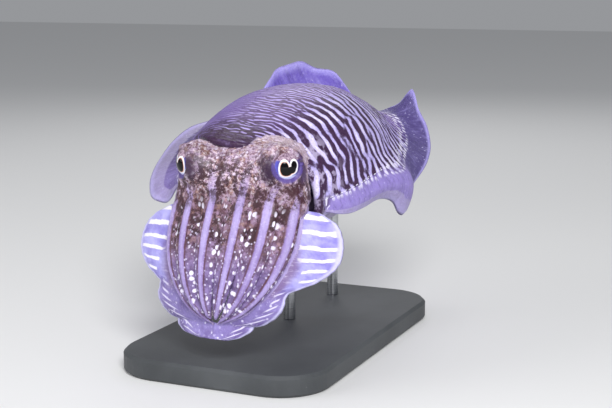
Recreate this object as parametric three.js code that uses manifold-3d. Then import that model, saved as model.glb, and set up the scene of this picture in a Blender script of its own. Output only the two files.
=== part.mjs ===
// A common cuttlefish, life size, hovering with its head bowed and its arms together, held over a
// flat display base by two rods. Millimetres, +Z up. It faces -Y and its left side is +X.
// The origin is the centre of the base's underside.
import * as THREE from "three";
import { mergeVertices } from "three/addons/utils/BufferGeometryUtils.js";
import Module from "manifold-3d";

const wasm = await Module();
wasm.setup();

// Driving dimensions
const MANTLE_LENGTH = 160;
const GAP = 0.3;
const SLIVER = 0.01;
const SIDES = [
  ["left", 1],
  ["right", -1],
];

const mantle = {
  start: new THREE.Vector3(0, -42, 80),
  pitch: 9.5,
  roll: 6,
  halfWidth: 0.275 * MANTLE_LENGTH,
  back: 0.255 * MANTLE_LENGTH,
  belly: 0.115 * MANTLE_LENGTH,
  widest: 0.32,
  frontShare: 0.84,
  frontHeightShare: 0.86,
  tailPower: 2.1,
  tailRound: 0.75,
  roundness: 2.2,
  rearRoundness: 1.45,
  rearFrom: 0.2,
  rearTo: 0.8,
  fallFrom: 0.3,
  fall: 0.45,
  fallPower: 1.5,
  lobe: 0.145 * MANTLE_LENGTH,
  lobePower: 5,
  funnelNotch: 0.07 * MANTLE_LENGTH,
  notchPower: 3,
  frontFade: 0.5,
  wall: 3.2,
  pocket: 20,
  pocketRings: 4,
  rimRound: 0.6,
  rings: 20,
  ringCrowding: 1.7,
  segments: 32,
};

const fin = {
  rootSink: 4,
  first: 0.02,
  last: 0.972,
  rootThickness: 4.2,
  edgeThickness: 1,
  thinning: 0.6,
  rings: 40,
  steps: 5,
};

const head = {
  neckAside: 6,
  neckCentre: 12.5,
  levelBy: 20,
  roll: -1.5,
  length: 30,
  crownPitch: 68,
  roundness: 2.4,
  rings: 13,
  segments: 24,
};

const eye = {
  radius: 7.6,
  along: 17,
  aside: 22,
  raise: 13.5,
  turn: 44,
  tilt: 4,
  opening: 6.4,
  lid: 1.2,
  lidOut: 0.55,
  bulge: [8.2, 10.5, 9.8],
  bulgeInset: 2.6,
  flare: 2.4,
  flareDepth: 9,
};

const crown = {
  length: 54,
  tipPitch: 75,
  halfWidth: 33,
  halfDepth: 15,
  fullUntil: 0.2,
  narrowing: 0.6,
  tipHalf: 1.6,
  rings: 9,
  segments: 10,
  parting: 0.5,
  fullDepth: 9,
  thinnest: 0.45,
};

// Each arm: the sector of the crown that it fills, in degrees from the back's midline, and its reach
const ARMS = [
  { name: "arm_1", from: 0, to: 24, reach: 0.97 },
  { name: "arm_2", from: 24, to: 53, reach: 1 },
  { name: "arm_3", from: 53, to: 88, reach: 1.02 },
  { name: "arm_4", from: 88, to: 146, reach: 1.14 },
];

// The section of an arm: how square its corners are, how much narrower its inner face is, where that
// face lies between the crown's middle (0) and its outside (1), and how it tapers at its tip
const section = {
  corners: 0.72,
  innerNarrow: 0.9,
  innerAtRoot: 0.3,
  innerAtTip: 0.56,
  innerBy: 0.4,
  gapShare: 0.6,
  taper: 0.3,
  taperOver: 0.12,
  leastAngle: 0.02,
};

const sucker = {
  rows: 2,
  perRow: 6,
  radius: 1.5,
  tipRadius: 0.6,
  height: 1.1,
  hollow: 0.45,
  foot: 0.7,
  sunk: 0.7,
  first: 0.12,
  beforeTip: 0.04,
  crowding: 0.85,
  offMiddle: 0.16,
  clearStart: 0.03,
  clearEnd: 0.02,
  sides: 5,
};

const keel = {
  rootAngle: 98,
  rootRadius: 0.8,
  rootSink: 3,
  rootThickness: 2.6,
  edgeThickness: 0.9,
  sweep: 12,
  sweepMore: 28,
  steps: 5,
  rings: 25,
};

const funnel = {
  start: 18,
  bend: -6,
  mouthAt: -18,
  drop: 8,
  mouthDrop: 40,
  aside: 2,
  rootWidth: 13,
  rootHeight: 5,
  mouth: 5,
  mouthFlat: 0.85,
  narrowing: 1.3,
  rings: 5,
  segments: 16,
  wall: 1.2,
  bore: 8,
};

const base = { length: 176, width: 104, height: 10, corner: 24, bevel: 1.5, cornerSteps: 6 };
const rod = { radius: 3, places: [0.3, 0.66], sides: 20 };

// Small helpers
const rad = THREE.MathUtils.degToRad;
const lerp = THREE.MathUtils.lerp;
const clamp = THREE.MathUtils.clamp;
const signedPower = (x, p) => Math.sign(x) * Math.abs(x) ** p;

function ease(x, from, to) {
  const t = clamp((x - from) / (to - from), 0, 1);
  return t * t * (3 - 2 * t);
}

// A smooth curve of one value through stations [x, value], flat beyond its ends.
function through(stations, x) {
  const last = stations.length - 1;
  if (x <= stations[0][0]) return stations[0][1];
  if (x >= stations[last][0]) return stations[last][1];
  const i = stations.findIndex((station) => x < station[0]) - 1;
  const slope = (k) => {
    const a = stations[Math.max(k - 1, 0)];
    const b = stations[Math.min(k + 1, last)];
    return (b[1] - a[1]) / (b[0] - a[0]);
  };
  const [x0, y0] = stations[i];
  const [x1, y1] = stations[i + 1];
  const span = x1 - x0;
  const t = (x - x0) / span;
  const u = 1 - t;
  return (
    y0 * u * u * (1 + 2 * t) +
    y1 * t * t * (3 - 2 * t) +
    slope(i) * span * t * u * u -
    slope(i + 1) * span * t * t * u
  );
}

// A closed body from rings of equal length; each end closes on a point or on its ring's middle.
function loftGeometry(rings, firstPole, lastPole) {
  const count = rings[0].length;
  const middle = (ring) =>
    ring.reduce((sum, p) => sum.add(p), new THREE.Vector3()).divideScalar(count);
  const points = [firstPole ?? middle(rings[0]), ...rings.flat(), lastPole ?? middle(rings.at(-1))];
  const faces = [];
  const at = (ring, k) => 1 + ring * count + (k % count);
  const end = points.length - 1;
  for (let k = 0; k < count; k++) {
    faces.push(0, at(0, k), at(0, k + 1));
    for (let r = 0; r < rings.length - 1; r++) {
      faces.push(at(r, k), at(r + 1, k), at(r, k + 1));
      faces.push(at(r, k + 1), at(r + 1, k), at(r + 1, k + 1));
    }
    faces.push(end, at(rings.length - 1, k + 1), at(rings.length - 1, k));
  }
  return new THREE.BufferGeometry().setFromPoints(points).setIndex(faces);
}

// A three.js geometry as a manifold-3d solid with its faces pointing out.
function solidOf(geometry) {
  const bare = geometry.clone();
  bare.deleteAttribute("normal");
  bare.deleteAttribute("uv");
  const merged = mergeVertices(bare, 1e-4);
  const triVerts = new Uint32Array(merged.index.array);
  const vertProperties = merged.attributes.position.array;
  const made = new wasm.Manifold(new wasm.Mesh({ numProp: 3, vertProperties, triVerts }));
  if (made.volume() > 0) return made;
  for (let i = 0; i < triVerts.length; i += 3) {
    [triVerts[i + 1], triVerts[i + 2]] = [triVerts[i + 2], triVerts[i + 1]];
  }
  return new wasm.Manifold(new wasm.Mesh({ numProp: 3, vertProperties, triVerts }));
}

const loft = (rings, firstPole, lastPole) => solidOf(loftGeometry(rings, firstPole, lastPole));
const union = (solids) => solids.reduce((whole, piece) => whole.add(piece));

// The largest closed body of a solid, as a mesh geometry.
function largestGeometry(solid) {
  const largest = solid
    .decompose()
    .reduce((a, b) => (a.volume() > b.volume() ? a : b))
    .simplify(SLIVER);
  const mesh = largest.getMesh();
  const positions = new Float32Array(mesh.numVert * 3);
  for (let i = 0; i < mesh.numVert; i++) {
    positions.set(mesh.vertProperties.subarray(i * mesh.numProp, i * mesh.numProp + 3), i * 3);
  }
  const geometry = new THREE.BufferGeometry();
  geometry.setAttribute("position", new THREE.BufferAttribute(positions, 3));
  geometry.setIndex(new THREE.BufferAttribute(mesh.triVerts, 1));
  geometry.computeVertexNormals();
  return geometry;
}

// Materials, in the violet light of the photograph
const finish = (color, roughness, metalness = 0) =>
  new THREE.MeshStandardMaterial({ color, roughness, metalness });
const materials = {
  mantle: finish(0x6a5596, 0.45),
  fin: finish(0x6d60a4, 0.4),
  head: finish(0x86708a, 0.5),
  arm: finish(0x8c7cb4, 0.45),
  keelArm: finish(0x9a92da, 0.4),
  eye: finish(0x14101c, 0.12),
  funnel: finish(0x9c90c4, 0.45),
  stand: finish(0x2b2d31, 0.5),
  rod: finish(0xb4b7bb, 0.3, 1),
};

// The mantle: an oval sac along its own axis, with u from the front edge to the tail, and the angle
// round it from the left side (0) over the back (90)
const mantleFrame = new THREE.Matrix4()
  .makeRotationX(rad(mantle.pitch))
  .multiply(new THREE.Matrix4().makeRotationY(rad(mantle.roll)))
  .setPosition(mantle.start);
const inMantle = (x, y, z) => new THREE.Vector3(x, y, z).applyMatrix4(mantleFrame);

function oval(u, frontShare) {
  if (u < mantle.widest) {
    return frontShare + (1 - frontShare) * (1 - (1 - u / mantle.widest) ** 2);
  }
  const beyond = (u - mantle.widest) / (1 - mantle.widest);
  return Math.max(1 - beyond ** mantle.tailPower, 0) ** mantle.tailRound;
}

const mantleHalfWidth = (u) => mantle.halfWidth * oval(u, mantle.frontShare);

// How far the front edge lies forward of the mantle's start: a lobe over the head, a notch below it.
function frontEdge(angle) {
  const overHead = Math.max(Math.sin(angle), 0) ** mantle.lobePower;
  const underHead = Math.max(-Math.sin(angle), 0) ** mantle.notchPower;
  return mantle.lobe * overHead - mantle.funnelNotch * underHead;
}

// The back's height, which falls towards the tail more than the mantle narrows.
function backHeight(u) {
  const beyond = Math.max((u - mantle.fallFrom) / (1 - mantle.fallFrom), 0);
  return mantle.back * (1 - mantle.fall * beyond ** mantle.fallPower);
}

// A point of the mantle: inset moves it inwards, and depth and flat take a rim's point back to the
// pocket's flat floor.
function mantlePoint(u, angle, inset = 0, depth = 0, flat = 0) {
  const above = Math.sin(angle) > 0;
  const high = (above ? backHeight(u) : mantle.belly) * oval(u, mantle.frontHeightShare);
  const rear = above ? ease(u, mantle.rearFrom, mantle.rearTo) : 0;
  const power = 2 / lerp(mantle.roundness, mantle.rearRoundness, rear);
  const front = -frontEdge(angle) * Math.max(1 - u / mantle.frontFade, 0) ** 2 * (1 - flat);
  return inMantle(
    (mantleHalfWidth(u) - inset) * signedPower(Math.cos(angle), power),
    u * MANTLE_LENGTH + front + depth,
    (high - inset) * signedPower(Math.sin(angle), power),
  );
}

const ringAngles = (count) => Array.from({ length: count }, (_, k) => (2 * Math.PI * k) / count);

// The outside, then over the rim and down into the pocket that holds the neck, with every wall
// thicker by a clearance where the mantle is only cut from its neighbours.
function mantleSolid(grow = 0) {
  const angles = ringAngles(mantle.segments);
  const rings = [];
  for (let i = 1; i <= mantle.rings; i++) {
    const u = 1 - (i / mantle.rings) ** mantle.ringCrowding;
    rings.push(angles.map((angle) => mantlePoint(u, angle, -grow, -grow * (1 - u))));
  }
  for (let i = 0; i <= mantle.pocketRings; i++) {
    const t = i / mantle.pocketRings;
    const depth = lerp(i ? 0 : mantle.rimRound, mantle.pocket - grow, t);
    rings.push(angles.map((angle) => mantlePoint(0, angle, mantle.wall + grow, depth, t)));
  }
  return loft(rings, inMantle(0, MANTLE_LENGTH + grow, 0));
}

// The fins: the mantle's outline from above by arc length, its outward direction, and the way each
// fin's sheet rises and falls along it
const outline = (() => {
  const samples = [];
  let length = 0;
  const steps = 400;
  for (let i = 0; i <= steps; i++) {
    const u = 1 - (1 - i / steps) ** 2;
    const p = new THREE.Vector2(mantleHalfWidth(u), u * MANTLE_LENGTH);
    if (i) length += p.distanceTo(samples[i - 1].p);
    samples.push({ p, length });
  }
  return (share) => {
    const wanted = share * length;
    const i = Math.max(
      samples.findIndex((sample) => sample.length >= wanted),
      1,
    );
    const [a, b] = [samples[i - 1], samples[i]];
    const t = (wanted - a.length) / (b.length - a.length);
    const along = b.p.clone().sub(a.p).normalize();
    return { p: a.p.clone().lerp(b.p, t), out: new THREE.Vector2(along.y, -along.x) };
  };
})();

// Stations along each fin, [share, out, up]: where its edge lies from its root, and where its sheet
// heads for on leaving the root, so that each fin ripples as a swimming animal's does.
const finShape = {
  left: {
    edge: [
      [0, 3, -1], [0.1, 3, -6], [0.2, 2, -8.5], [0.28, 2, -9.5], [0.33, 4, -11], [0.37, 6.5, -15],
      [0.4, 8, -22], [0.43, 9.5, -25], [0.46, 10.5, -23], [0.5, 9, -18.5], [0.56, 11.5, -15],
      [0.64, 16, -11], [0.7, 18.5, -8], [0.76, 20, -5], [0.82, 19.5, 1.5], [0.87, 17, 8],
      [0.92, 15.5, 17], [0.96, 12, 7], [1, 7, 1],
    ],
    heading: [
      [0, 2, 0], [0.2, 6, 0], [0.3, 10, 1], [0.38, 17, 1], [0.44, 19, 0], [0.49, 15, -4], [0.56, 10, -7],
      [0.68, 11, -7], [0.8, 13, -5], [0.9, 14, 0], [1, 3, 0],
    ],
  },
  right: {
    edge: [
      [0, 2, -2], [0.05, 9, -14], [0.08, 18, -15], [0.14, 24, -12.5], [0.2, 27.5, -10],
      [0.27, 30, -7], [0.35, 31, -2], [0.43, 30, 2], [0.5, 27, 3], [0.58, 22, 5], [0.66, 19, 11],
      [0.72, 20, 20], [0.76, 23, 24], [0.8, 21.5, 26], [0.84, 20, 27], [0.88, 17, 23],
      [0.92, 9, 22], [0.95, 5, 15], [0.98, 3.5, 7], [1, 3, 1.5],
    ],
    heading: [
      [0, 2, 0], [0.1, 9, -4], [0.3, 15, 1], [0.5, 14, -2], [0.72, 16, 2], [0.84, 16, 4],
      [0.95, 5, 6], [1, 1, 0],
    ],
  },
};

const stationPoint = (stations, share) =>
  new THREE.Vector2(
    through(stations.map(([at, out]) => [at, out]), share),
    through(stations.map(([at, , up]) => [at, up]), share),
  );

// The points across a fin at one share of its length, over its top from the sunk root to the edge
// and back beneath.
function finRow(side, sign, share) {
  const { p, out } = outline(lerp(fin.first, fin.last, share));
  const root = new THREE.Vector2(0, 0);
  const heading = stationPoint(finShape[side].heading, share);
  const edge = stationPoint(finShape[side].edge, share);
  const sheet = new THREE.QuadraticBezierCurve(root, heading, edge);
  const top = [];
  const under = [];
  for (let k = -1; k <= fin.steps; k++) {
    const t = Math.max(k, 0) / fin.steps;
    const middle = k < 0 ? new THREE.Vector2(-fin.rootSink, 0) : sheet.getPoint(t);
    const along = k < 1 ? new THREE.Vector2(1, 0) : sheet.getTangent(t);
    const half = lerp(fin.rootThickness, fin.edgeThickness, t ** fin.thinning) / 2;
    const place = (offset) => {
      const reach = middle.x - along.y * offset;
      return inMantle(sign * (p.x + out.x * reach), p.y + out.y * reach, middle.y + along.x * offset);
    };
    top.push(place(half));
    under.unshift(place(-half));
  }
  return [...top, ...under];
}

function finSolid(side, sign) {
  const rings = [];
  for (let i = 0; i <= fin.rings; i++) rings.push(finRow(side, sign, i / fin.rings));
  return loft(rings);
}

// The spine of the head and arms: a line that leaves the mantle along its axis, turns to the left,
// bows down to the crown of arms, and follows the arms' middle to their tips
const spineStart = -(mantle.pocket - GAP);
const spinePitch = [
  [spineStart, -10],
  [-2, -8],
  [6, 14],
  [head.length * 0.55, 50],
  [head.length, head.crownPitch],
  [head.length + crown.length * 0.3, 73],
  [head.length + crown.length * 1.15, crown.tipPitch],
];
const spineYaw = [
  [spineStart, 0],
  [8, 4],
  [head.length, 3],
  [head.length + crown.length, 0],
];
const spineLean = [
  [8, 0],
  [head.length, -5],
  [head.length + crown.length, -6],
];
const spine = (() => {
  const step = 0.5;
  const frames = [];
  const point = inMantle(head.neckAside, -spineStart, head.neckCentre);
  for (let s = spineStart; s < head.length + crown.length * 1.3; s += step) {
    const yaw = rad(through(spineYaw, s));
    const roll = -rad(lerp(mantle.roll, head.roll, ease(s, spineStart, head.levelBy)));
    const pitch = rad(through(spinePitch, s));
    const forward = new THREE.Vector3(
      Math.sin(yaw) * Math.cos(pitch),
      -Math.cos(yaw) * Math.cos(pitch),
      -Math.sin(pitch),
    );
    const lateral = new THREE.Vector3(Math.cos(yaw), Math.sin(yaw), 0).applyAxisAngle(forward, roll);
    const dorsal = forward.clone().cross(lateral);
    const lean = rad(through(spineLean, s));
    forward.applyAxisAngle(dorsal, lean);
    frames.push({ point: point.clone(), forward, lateral, dorsal });
    point.addScaledVector(forward, step);
  }
  return (s) => {
    const place = clamp((s - spineStart) / step, 0, frames.length - 1.001);
    const a = frames[Math.floor(place)];
    const b = frames[Math.floor(place) + 1];
    const t = place - Math.floor(place);
    return {
      point: a.point.clone().lerp(b.point, t),
      forward: a.forward.clone().lerp(b.forward, t).normalize(),
      lateral: a.lateral.clone().lerp(b.lateral, t).normalize(),
      dorsal: a.dorsal.clone().lerp(b.dorsal, t).normalize(),
    };
  };
})();

const besideSpine = (s, aside, raise) => {
  const at = spine(s);
  return at.point.addScaledVector(at.lateral, aside).addScaledVector(at.dorsal, raise);
};

// The head's half-width, and its height above and below the spine, at stations along it
const headShape = {
  width: [
    [spineStart, 24], [0, 24.5], [8, 25.5], [14, 28], [20, 30.5], [head.length, crown.halfWidth],
  ],
  above: [
    [spineStart, 13], [0, 14], [8, 15.5], [16, 18.5], [24, 17.5], [head.length, crown.halfDepth],
  ],
  below: [[spineStart, 14], [0, 15], [12, 16], [22, 15.5], [head.length, crown.halfDepth]],
};

function headBody(grow = 0) {
  const end = head.length - GAP;
  const power = 2 / head.roundness;
  const rings = [];
  for (let i = 0; i <= head.rings; i++) {
    const s = lerp(spineStart, end, i / head.rings);
    const wide = through(headShape.width, s) + grow;
    const above = through(headShape.above, s) + grow;
    const below = through(headShape.below, s) + grow;
    rings.push(
      ringAngles(head.segments).map((angle) => {
        const x = wide * signedPower(Math.cos(angle), power);
        const z = (Math.sin(angle) > 0 ? above : below) * signedPower(Math.sin(angle), power);
        return besideSpine(s, x, z);
      }),
    );
  }
  return loft(rings);
}

// Where an eye sits and which way it looks.
function eyePlace(sign) {
  const at = spine(eye.along);
  const centre = besideSpine(eye.along, sign * eye.aside, eye.raise);
  const level = new THREE.Vector3(at.forward.x, at.forward.y, 0).normalize();
  const look = level
    .multiplyScalar(Math.cos(rad(eye.turn)))
    .addScaledVector(at.lateral, sign * Math.sin(rad(eye.turn)))
    .add(new THREE.Vector3(0, 0, Math.sin(rad(eye.tilt))))
    .normalize();
  const turn = new THREE.Quaternion().setFromUnitVectors(new THREE.Vector3(0, 0, 1), look);
  return new THREE.Matrix4().compose(centre, turn, new THREE.Vector3(1, 1, 1));
}

function eyeBulge(sign) {
  const bulge = new THREE.SphereGeometry(1, 14, 9);
  bulge.scale(eye.bulge[0], eye.bulge[1], eye.bulge[2]);
  const at = spine(eye.along);
  const turn = new THREE.Matrix4().makeBasis(at.lateral, at.forward, at.dorsal);
  const centre = besideSpine(eye.along, sign * (eye.aside - eye.bulgeInset), eye.raise);
  return solidOf(bulge.applyMatrix4(turn.setPosition(centre)));
}

// How far in front of the eye's centre its opening lies.
const openingAt = Math.sqrt(eye.radius ** 2 - eye.opening ** 2);

function eyeLids(sign) {
  const ring = new THREE.TorusGeometry(eye.opening + eye.lid * eye.lidOut, eye.lid, 5, 18);
  ring.translate(0, 0, openingAt);
  return solidOf(ring.applyMatrix4(eyePlace(sign)));
}

// The room for an eye: its ball with a gap round it, and a flared opening before it.
function eyeSocket(sign) {
  const ball = new THREE.SphereGeometry(eye.radius + GAP, 16, 10).applyMatrix4(eyePlace(sign));
  const opening = new THREE.CylinderGeometry(eye.opening + eye.flare, eye.opening, eye.flareDepth, 18);
  opening.rotateX(Math.PI / 2);
  opening.translate(0, 0, openingAt + eye.flareDepth / 2);
  return solidOf(ball).add(solidOf(opening.applyMatrix4(eyePlace(sign))));
}

function headSolid() {
  const signs = SIDES.map(([, sign]) => sign);
  const outside = union([headBody(), ...signs.map(eyeBulge), ...signs.map(eyeLids)]);
  return signs.reduce((whole, sign) => whole.subtract(eyeSocket(sign)), outside.subtract(mantleWithGap));
}

const eyeBall = (sign) => new THREE.SphereGeometry(eye.radius, 16, 10).applyMatrix4(eyePlace(sign));

// The crown of arms: an ellipse round the spine that narrows to the tips. A place on it has a share
// of the crown's length, an angle from the back's midline and a radius share (1 on the ellipse)
function crownHalf(share, atRoot) {
  const beyond = clamp((share - crown.fullUntil) / (1 - crown.fullUntil), 0, 1);
  return crown.tipHalf + (atRoot - crown.tipHalf) * (1 - beyond ** 2) ** crown.narrowing;
}

function crownPoint(share, angle, radius) {
  const s = head.length + share * crown.length;
  const x = crownHalf(share, crown.halfWidth) * radius * Math.sin(angle);
  const z = crownHalf(share, crown.halfDepth) * radius * Math.cos(angle);
  return besideSpine(s, x, z);
}

// The share of the radius where an arm's inner face lies.
const innerShare = (share) =>
  lerp(section.innerAtRoot, section.innerAtTip, ease(share, 0, section.innerBy));

// One ring round an arm: a rounded section that fills its sector, less the gap to its neighbours.
function armRing(arm, sign, share) {
  const taper = 1 - section.taper * ease(share, arm.reach - section.taperOver, arm.reach);
  const mid = rad(arm.from + arm.to) / 2;
  const local = (crownHalf(share, crown.halfWidth) + crownHalf(share, crown.halfDepth)) / 2;
  const half = (rad(arm.to - arm.from) / 2) * taper - (GAP * section.gapShare) / local;
  const inner = innerShare(share);
  const middle = (1 + inner) / 2;
  return ringAngles(crown.segments).map((turn) => {
    const across = signedPower(Math.cos(turn), section.corners) * Math.max(half, section.leastAngle);
    const radial = (signedPower(Math.sin(turn), section.corners) * (1 - inner)) / 2;
    const narrow = radial < 0 ? section.innerNarrow : 1;
    return crownPoint(share, sign * (mid + across * narrow), middle + radial);
  });
}

function armSolid(arm, sign, from, to) {
  const rings = [];
  const count = Math.round((crown.rings * (to - from)) / crown.parting);
  for (let i = 0; i <= count; i++) rings.push(armRing(arm, sign, lerp(from, to, i / count)));
  return loft(rings);
}

// A sucker: a short cup on the arm's inner face, its root sunk in.
function suckerSolid(share, angle, radius) {
  const mouth = crownPoint(share, angle, innerShare(share));
  const inward = crownPoint(share, angle, 0).sub(mouth).normalize();
  const height = sucker.height * (radius / sucker.radius);
  const cup = new THREE.LatheGeometry(
    [
      new THREE.Vector2(0, -sucker.sunk),
      new THREE.Vector2(radius * sucker.foot, -sucker.sunk),
      new THREE.Vector2(radius, height),
      new THREE.Vector2(0, height * sucker.hollow),
    ],
    sucker.sides,
  );
  const turn = new THREE.Quaternion().setFromUnitVectors(new THREE.Vector3(0, 1, 0), inward);
  return solidOf(cup.applyMatrix4(new THREE.Matrix4().compose(mouth, turn, new THREE.Vector3(1, 1, 1))));
}

function armSuckers(arm, sign, from, to) {
  const cups = [];
  const last = arm.reach - sucker.beforeTip;
  const mid = rad(arm.from + arm.to) / 2;
  const aside = rad(arm.to - arm.from) * sucker.offMiddle;
  for (let i = 0; i < sucker.perRow; i++) {
    for (let row = 0; row < sucker.rows; row++) {
      const t = (i + row / sucker.rows) / sucker.perRow;
      const share = lerp(sucker.first, last, t ** sucker.crowding);
      const radius = lerp(sucker.radius, sucker.tipRadius, t);
      if (share < from + sucker.clearStart || share > to - sucker.clearEnd) continue;
      cups.push(suckerSolid(share, sign * (mid + (row ? aside : -aside)), radius));
    }
  }
  return cups;
}

// The swimming keel of each lowest arm: two lobes that spread sideways and sweep back.
const keelWidth = {
  left: [
    [0, 8], [0.07, 16], [0.16, 20], [0.3, 22.5], [0.44, 22.5], [0.58, 17], [0.68, 9], [0.72, 8],
    [0.8, 10.5], [0.92, 14], [1.02, 15], [1.1, 10], [1.14, 4],
  ],
  right: [
    [0, 9], [0.07, 19], [0.16, 25], [0.3, 28], [0.44, 28], [0.58, 23.5], [0.68, 16.5], [0.72, 17],
    [0.8, 21], [0.92, 25], [1.02, 26], [1.1, 20], [1.14, 8],
  ],
};

function keelRow(side, sign, share) {
  const width = through(keelWidth[side], share) + keel.rootSink;
  const at = spine(head.length + share * crown.length);
  const thin = clamp(crownHalf(share, crown.halfDepth) / crown.fullDepth, crown.thinnest, 1);
  const top = [];
  const under = [];
  let point = crownPoint(Math.max(share, 0), sign * rad(keel.rootAngle), keel.rootRadius);
  for (let k = 0; k <= keel.steps; k++) {
    const t = k / keel.steps;
    const angle = rad(keel.sweep + keel.sweepMore * t * t);
    const aside = at.lateral.clone().multiplyScalar(sign);
    const outward = aside
      .clone()
      .multiplyScalar(Math.cos(angle))
      .addScaledVector(at.dorsal, -Math.sin(angle));
    const normal = aside
      .clone()
      .multiplyScalar(Math.sin(angle))
      .addScaledVector(at.dorsal, Math.cos(angle));
    const half = (lerp(keel.rootThickness, keel.edgeThickness, t) / 2) * thin;
    if (k) point = point.clone().addScaledVector(outward, width / keel.steps);
    top.push(point.clone().addScaledVector(normal, half));
    under.unshift(point.clone().addScaledVector(normal, -half));
  }
  return [...top, ...under];
}

function keelSolid(side, sign, from, to) {
  const rings = [];
  const count = Math.round(keel.rings * (to - from));
  for (let i = 0; i <= count; i++) rings.push(keelRow(side, sign, lerp(from, to, i / count)));
  return loft(rings);
}

function armParts(arm, side, sign) {
  const cut = (GAP * 0.5) / crown.length;
  const lengths = [
    ["base", 0, crown.parting - cut],
    ["tip", crown.parting + cut, arm.reach],
  ];
  return lengths.map(([part, from, to]) => {
    const keeled = arm.name === "arm_4";
    const pieces = [armSolid(arm, sign, from, to), ...armSuckers(arm, sign, from, to)];
    if (keeled) pieces.push(keelSolid(side, sign, from, to));
    return [`${arm.name}_${side}_${part}`, union(pieces), keeled ? materials.keelArm : materials.arm];
  });
}

// The funnel: a flattened tube that leaves the mantle under the neck and bends down behind the
// arms, open at its mouth.
function funnelSolid() {
  const path = new THREE.QuadraticBezierCurve3(
    inMantle(0, funnel.start, -funnel.drop),
    inMantle(funnel.aside, funnel.bend, -funnel.drop),
    inMantle(funnel.aside, funnel.mouthAt, -funnel.mouthDrop),
  );
  const ring = (t, inset) => {
    const forward = path.getTangent(t);
    const lateral = new THREE.Vector3(1, 0, 0);
    const dorsal = forward.clone().cross(lateral).normalize();
    const narrowed = t ** funnel.narrowing;
    const wide = lerp(funnel.rootWidth, funnel.mouth, narrowed) - inset;
    const high = lerp(funnel.rootHeight, funnel.mouth * funnel.mouthFlat, narrowed) - inset;
    return ringAngles(funnel.segments).map((angle) =>
      path
        .getPoint(t)
        .addScaledVector(lateral, wide * Math.cos(angle))
        .addScaledVector(dorsal, high * Math.sin(angle)),
    );
  };
  const outside = Array.from({ length: funnel.rings + 1 }, (_, k) => ring(k / funnel.rings, 0));
  const floor = 1 - funnel.bore / path.getLength();
  const inside = [1, floor].map((t) => ring(t, funnel.wall));
  return loft([...outside, ...inside]);
}

// The display stand
function baseGeometry() {
  const x = base.width / 2 - base.bevel;
  const y = base.length / 2 - base.bevel;
  const r = base.corner - base.bevel;
  const shape = new THREE.Shape();
  shape.absarc(x - r, y - r, r, 0, Math.PI / 2);
  shape.absarc(-x + r, y - r, r, Math.PI / 2, Math.PI);
  shape.absarc(-x + r, -y + r, r, Math.PI, 1.5 * Math.PI);
  shape.absarc(x - r, -y + r, r, 1.5 * Math.PI, 2 * Math.PI);
  const slab = new THREE.ExtrudeGeometry(shape, {
    depth: base.height - 2 * base.bevel,
    bevelThickness: base.bevel,
    bevelSize: base.bevel,
    bevelSegments: 1,
    curveSegments: base.cornerSteps,
  });
  return slab.translate(0, 0, base.bevel);
}

function rodSolid(place, keepClear) {
  const foot = inMantle(0, place * MANTLE_LENGTH, 0);
  const length = foot.z - base.height - GAP;
  const shaft = new THREE.CylinderGeometry(rod.radius, rod.radius, length, rod.sides);
  shaft.rotateX(Math.PI / 2);
  shaft.translate(foot.x, foot.y, base.height + GAP + length / 2);
  return solidOf(shaft).subtract(keepClear);
}

// The whole model
const model = new THREE.Group();

function addNode(name, solid, material) {
  const mesh = new THREE.Mesh(largestGeometry(solid), material);
  mesh.name = name;
  model.add(mesh);
}

const mantleWithGap = mantleSolid(GAP);
const headWithGap = headBody(GAP);
const mantleBody = mantleSolid();
addNode("mantle", mantleBody, materials.mantle);
addNode("head", headSolid(), materials.head);
addNode("funnel", funnelSolid().subtract(headWithGap).subtract(mantleWithGap), materials.funnel);
for (const [side, sign] of SIDES) {
  addNode(`fin_${side}`, finSolid(side, sign).subtract(mantleWithGap), materials.fin);
  addNode(`eye_${side}`, solidOf(eyeBall(sign)), materials.eye);
  for (const arm of ARMS) {
    for (const [name, solid, material] of armParts(arm, side, sign)) addNode(name, solid, material);
  }
}
rod.places.forEach((place, i) => {
  addNode(`stand_rod_${i ? "rear" : "front"}`, rodSolid(place, mantleWithGap), materials.rod);
});
addNode("stand_base", solidOf(baseGeometry()), materials.stand);

export default model;
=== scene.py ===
"""Looks of the common cuttlefish: one skin over its solids, its eyes, its suckers and its display stand.

Sizes are in millimetres until a mesh is made, then in metres.
"""

import math

import bpy
import numpy as np
from mathutils import Matrix, Vector, noise
from mathutils.kdtree import KDTree


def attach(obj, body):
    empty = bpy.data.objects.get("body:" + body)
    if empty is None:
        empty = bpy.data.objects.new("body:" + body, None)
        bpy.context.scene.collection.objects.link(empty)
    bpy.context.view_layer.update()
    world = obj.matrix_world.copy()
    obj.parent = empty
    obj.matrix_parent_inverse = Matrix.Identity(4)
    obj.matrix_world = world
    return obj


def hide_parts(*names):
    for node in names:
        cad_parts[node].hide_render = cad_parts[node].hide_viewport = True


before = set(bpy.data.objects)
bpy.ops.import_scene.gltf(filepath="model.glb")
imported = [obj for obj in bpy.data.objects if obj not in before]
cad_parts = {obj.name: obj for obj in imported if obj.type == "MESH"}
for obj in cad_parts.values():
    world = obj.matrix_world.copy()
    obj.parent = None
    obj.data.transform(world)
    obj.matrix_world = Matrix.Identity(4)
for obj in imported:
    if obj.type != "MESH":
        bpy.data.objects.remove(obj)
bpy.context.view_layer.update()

MM = 0.001
SIDES = (("left", 1), ("right", -1))

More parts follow.
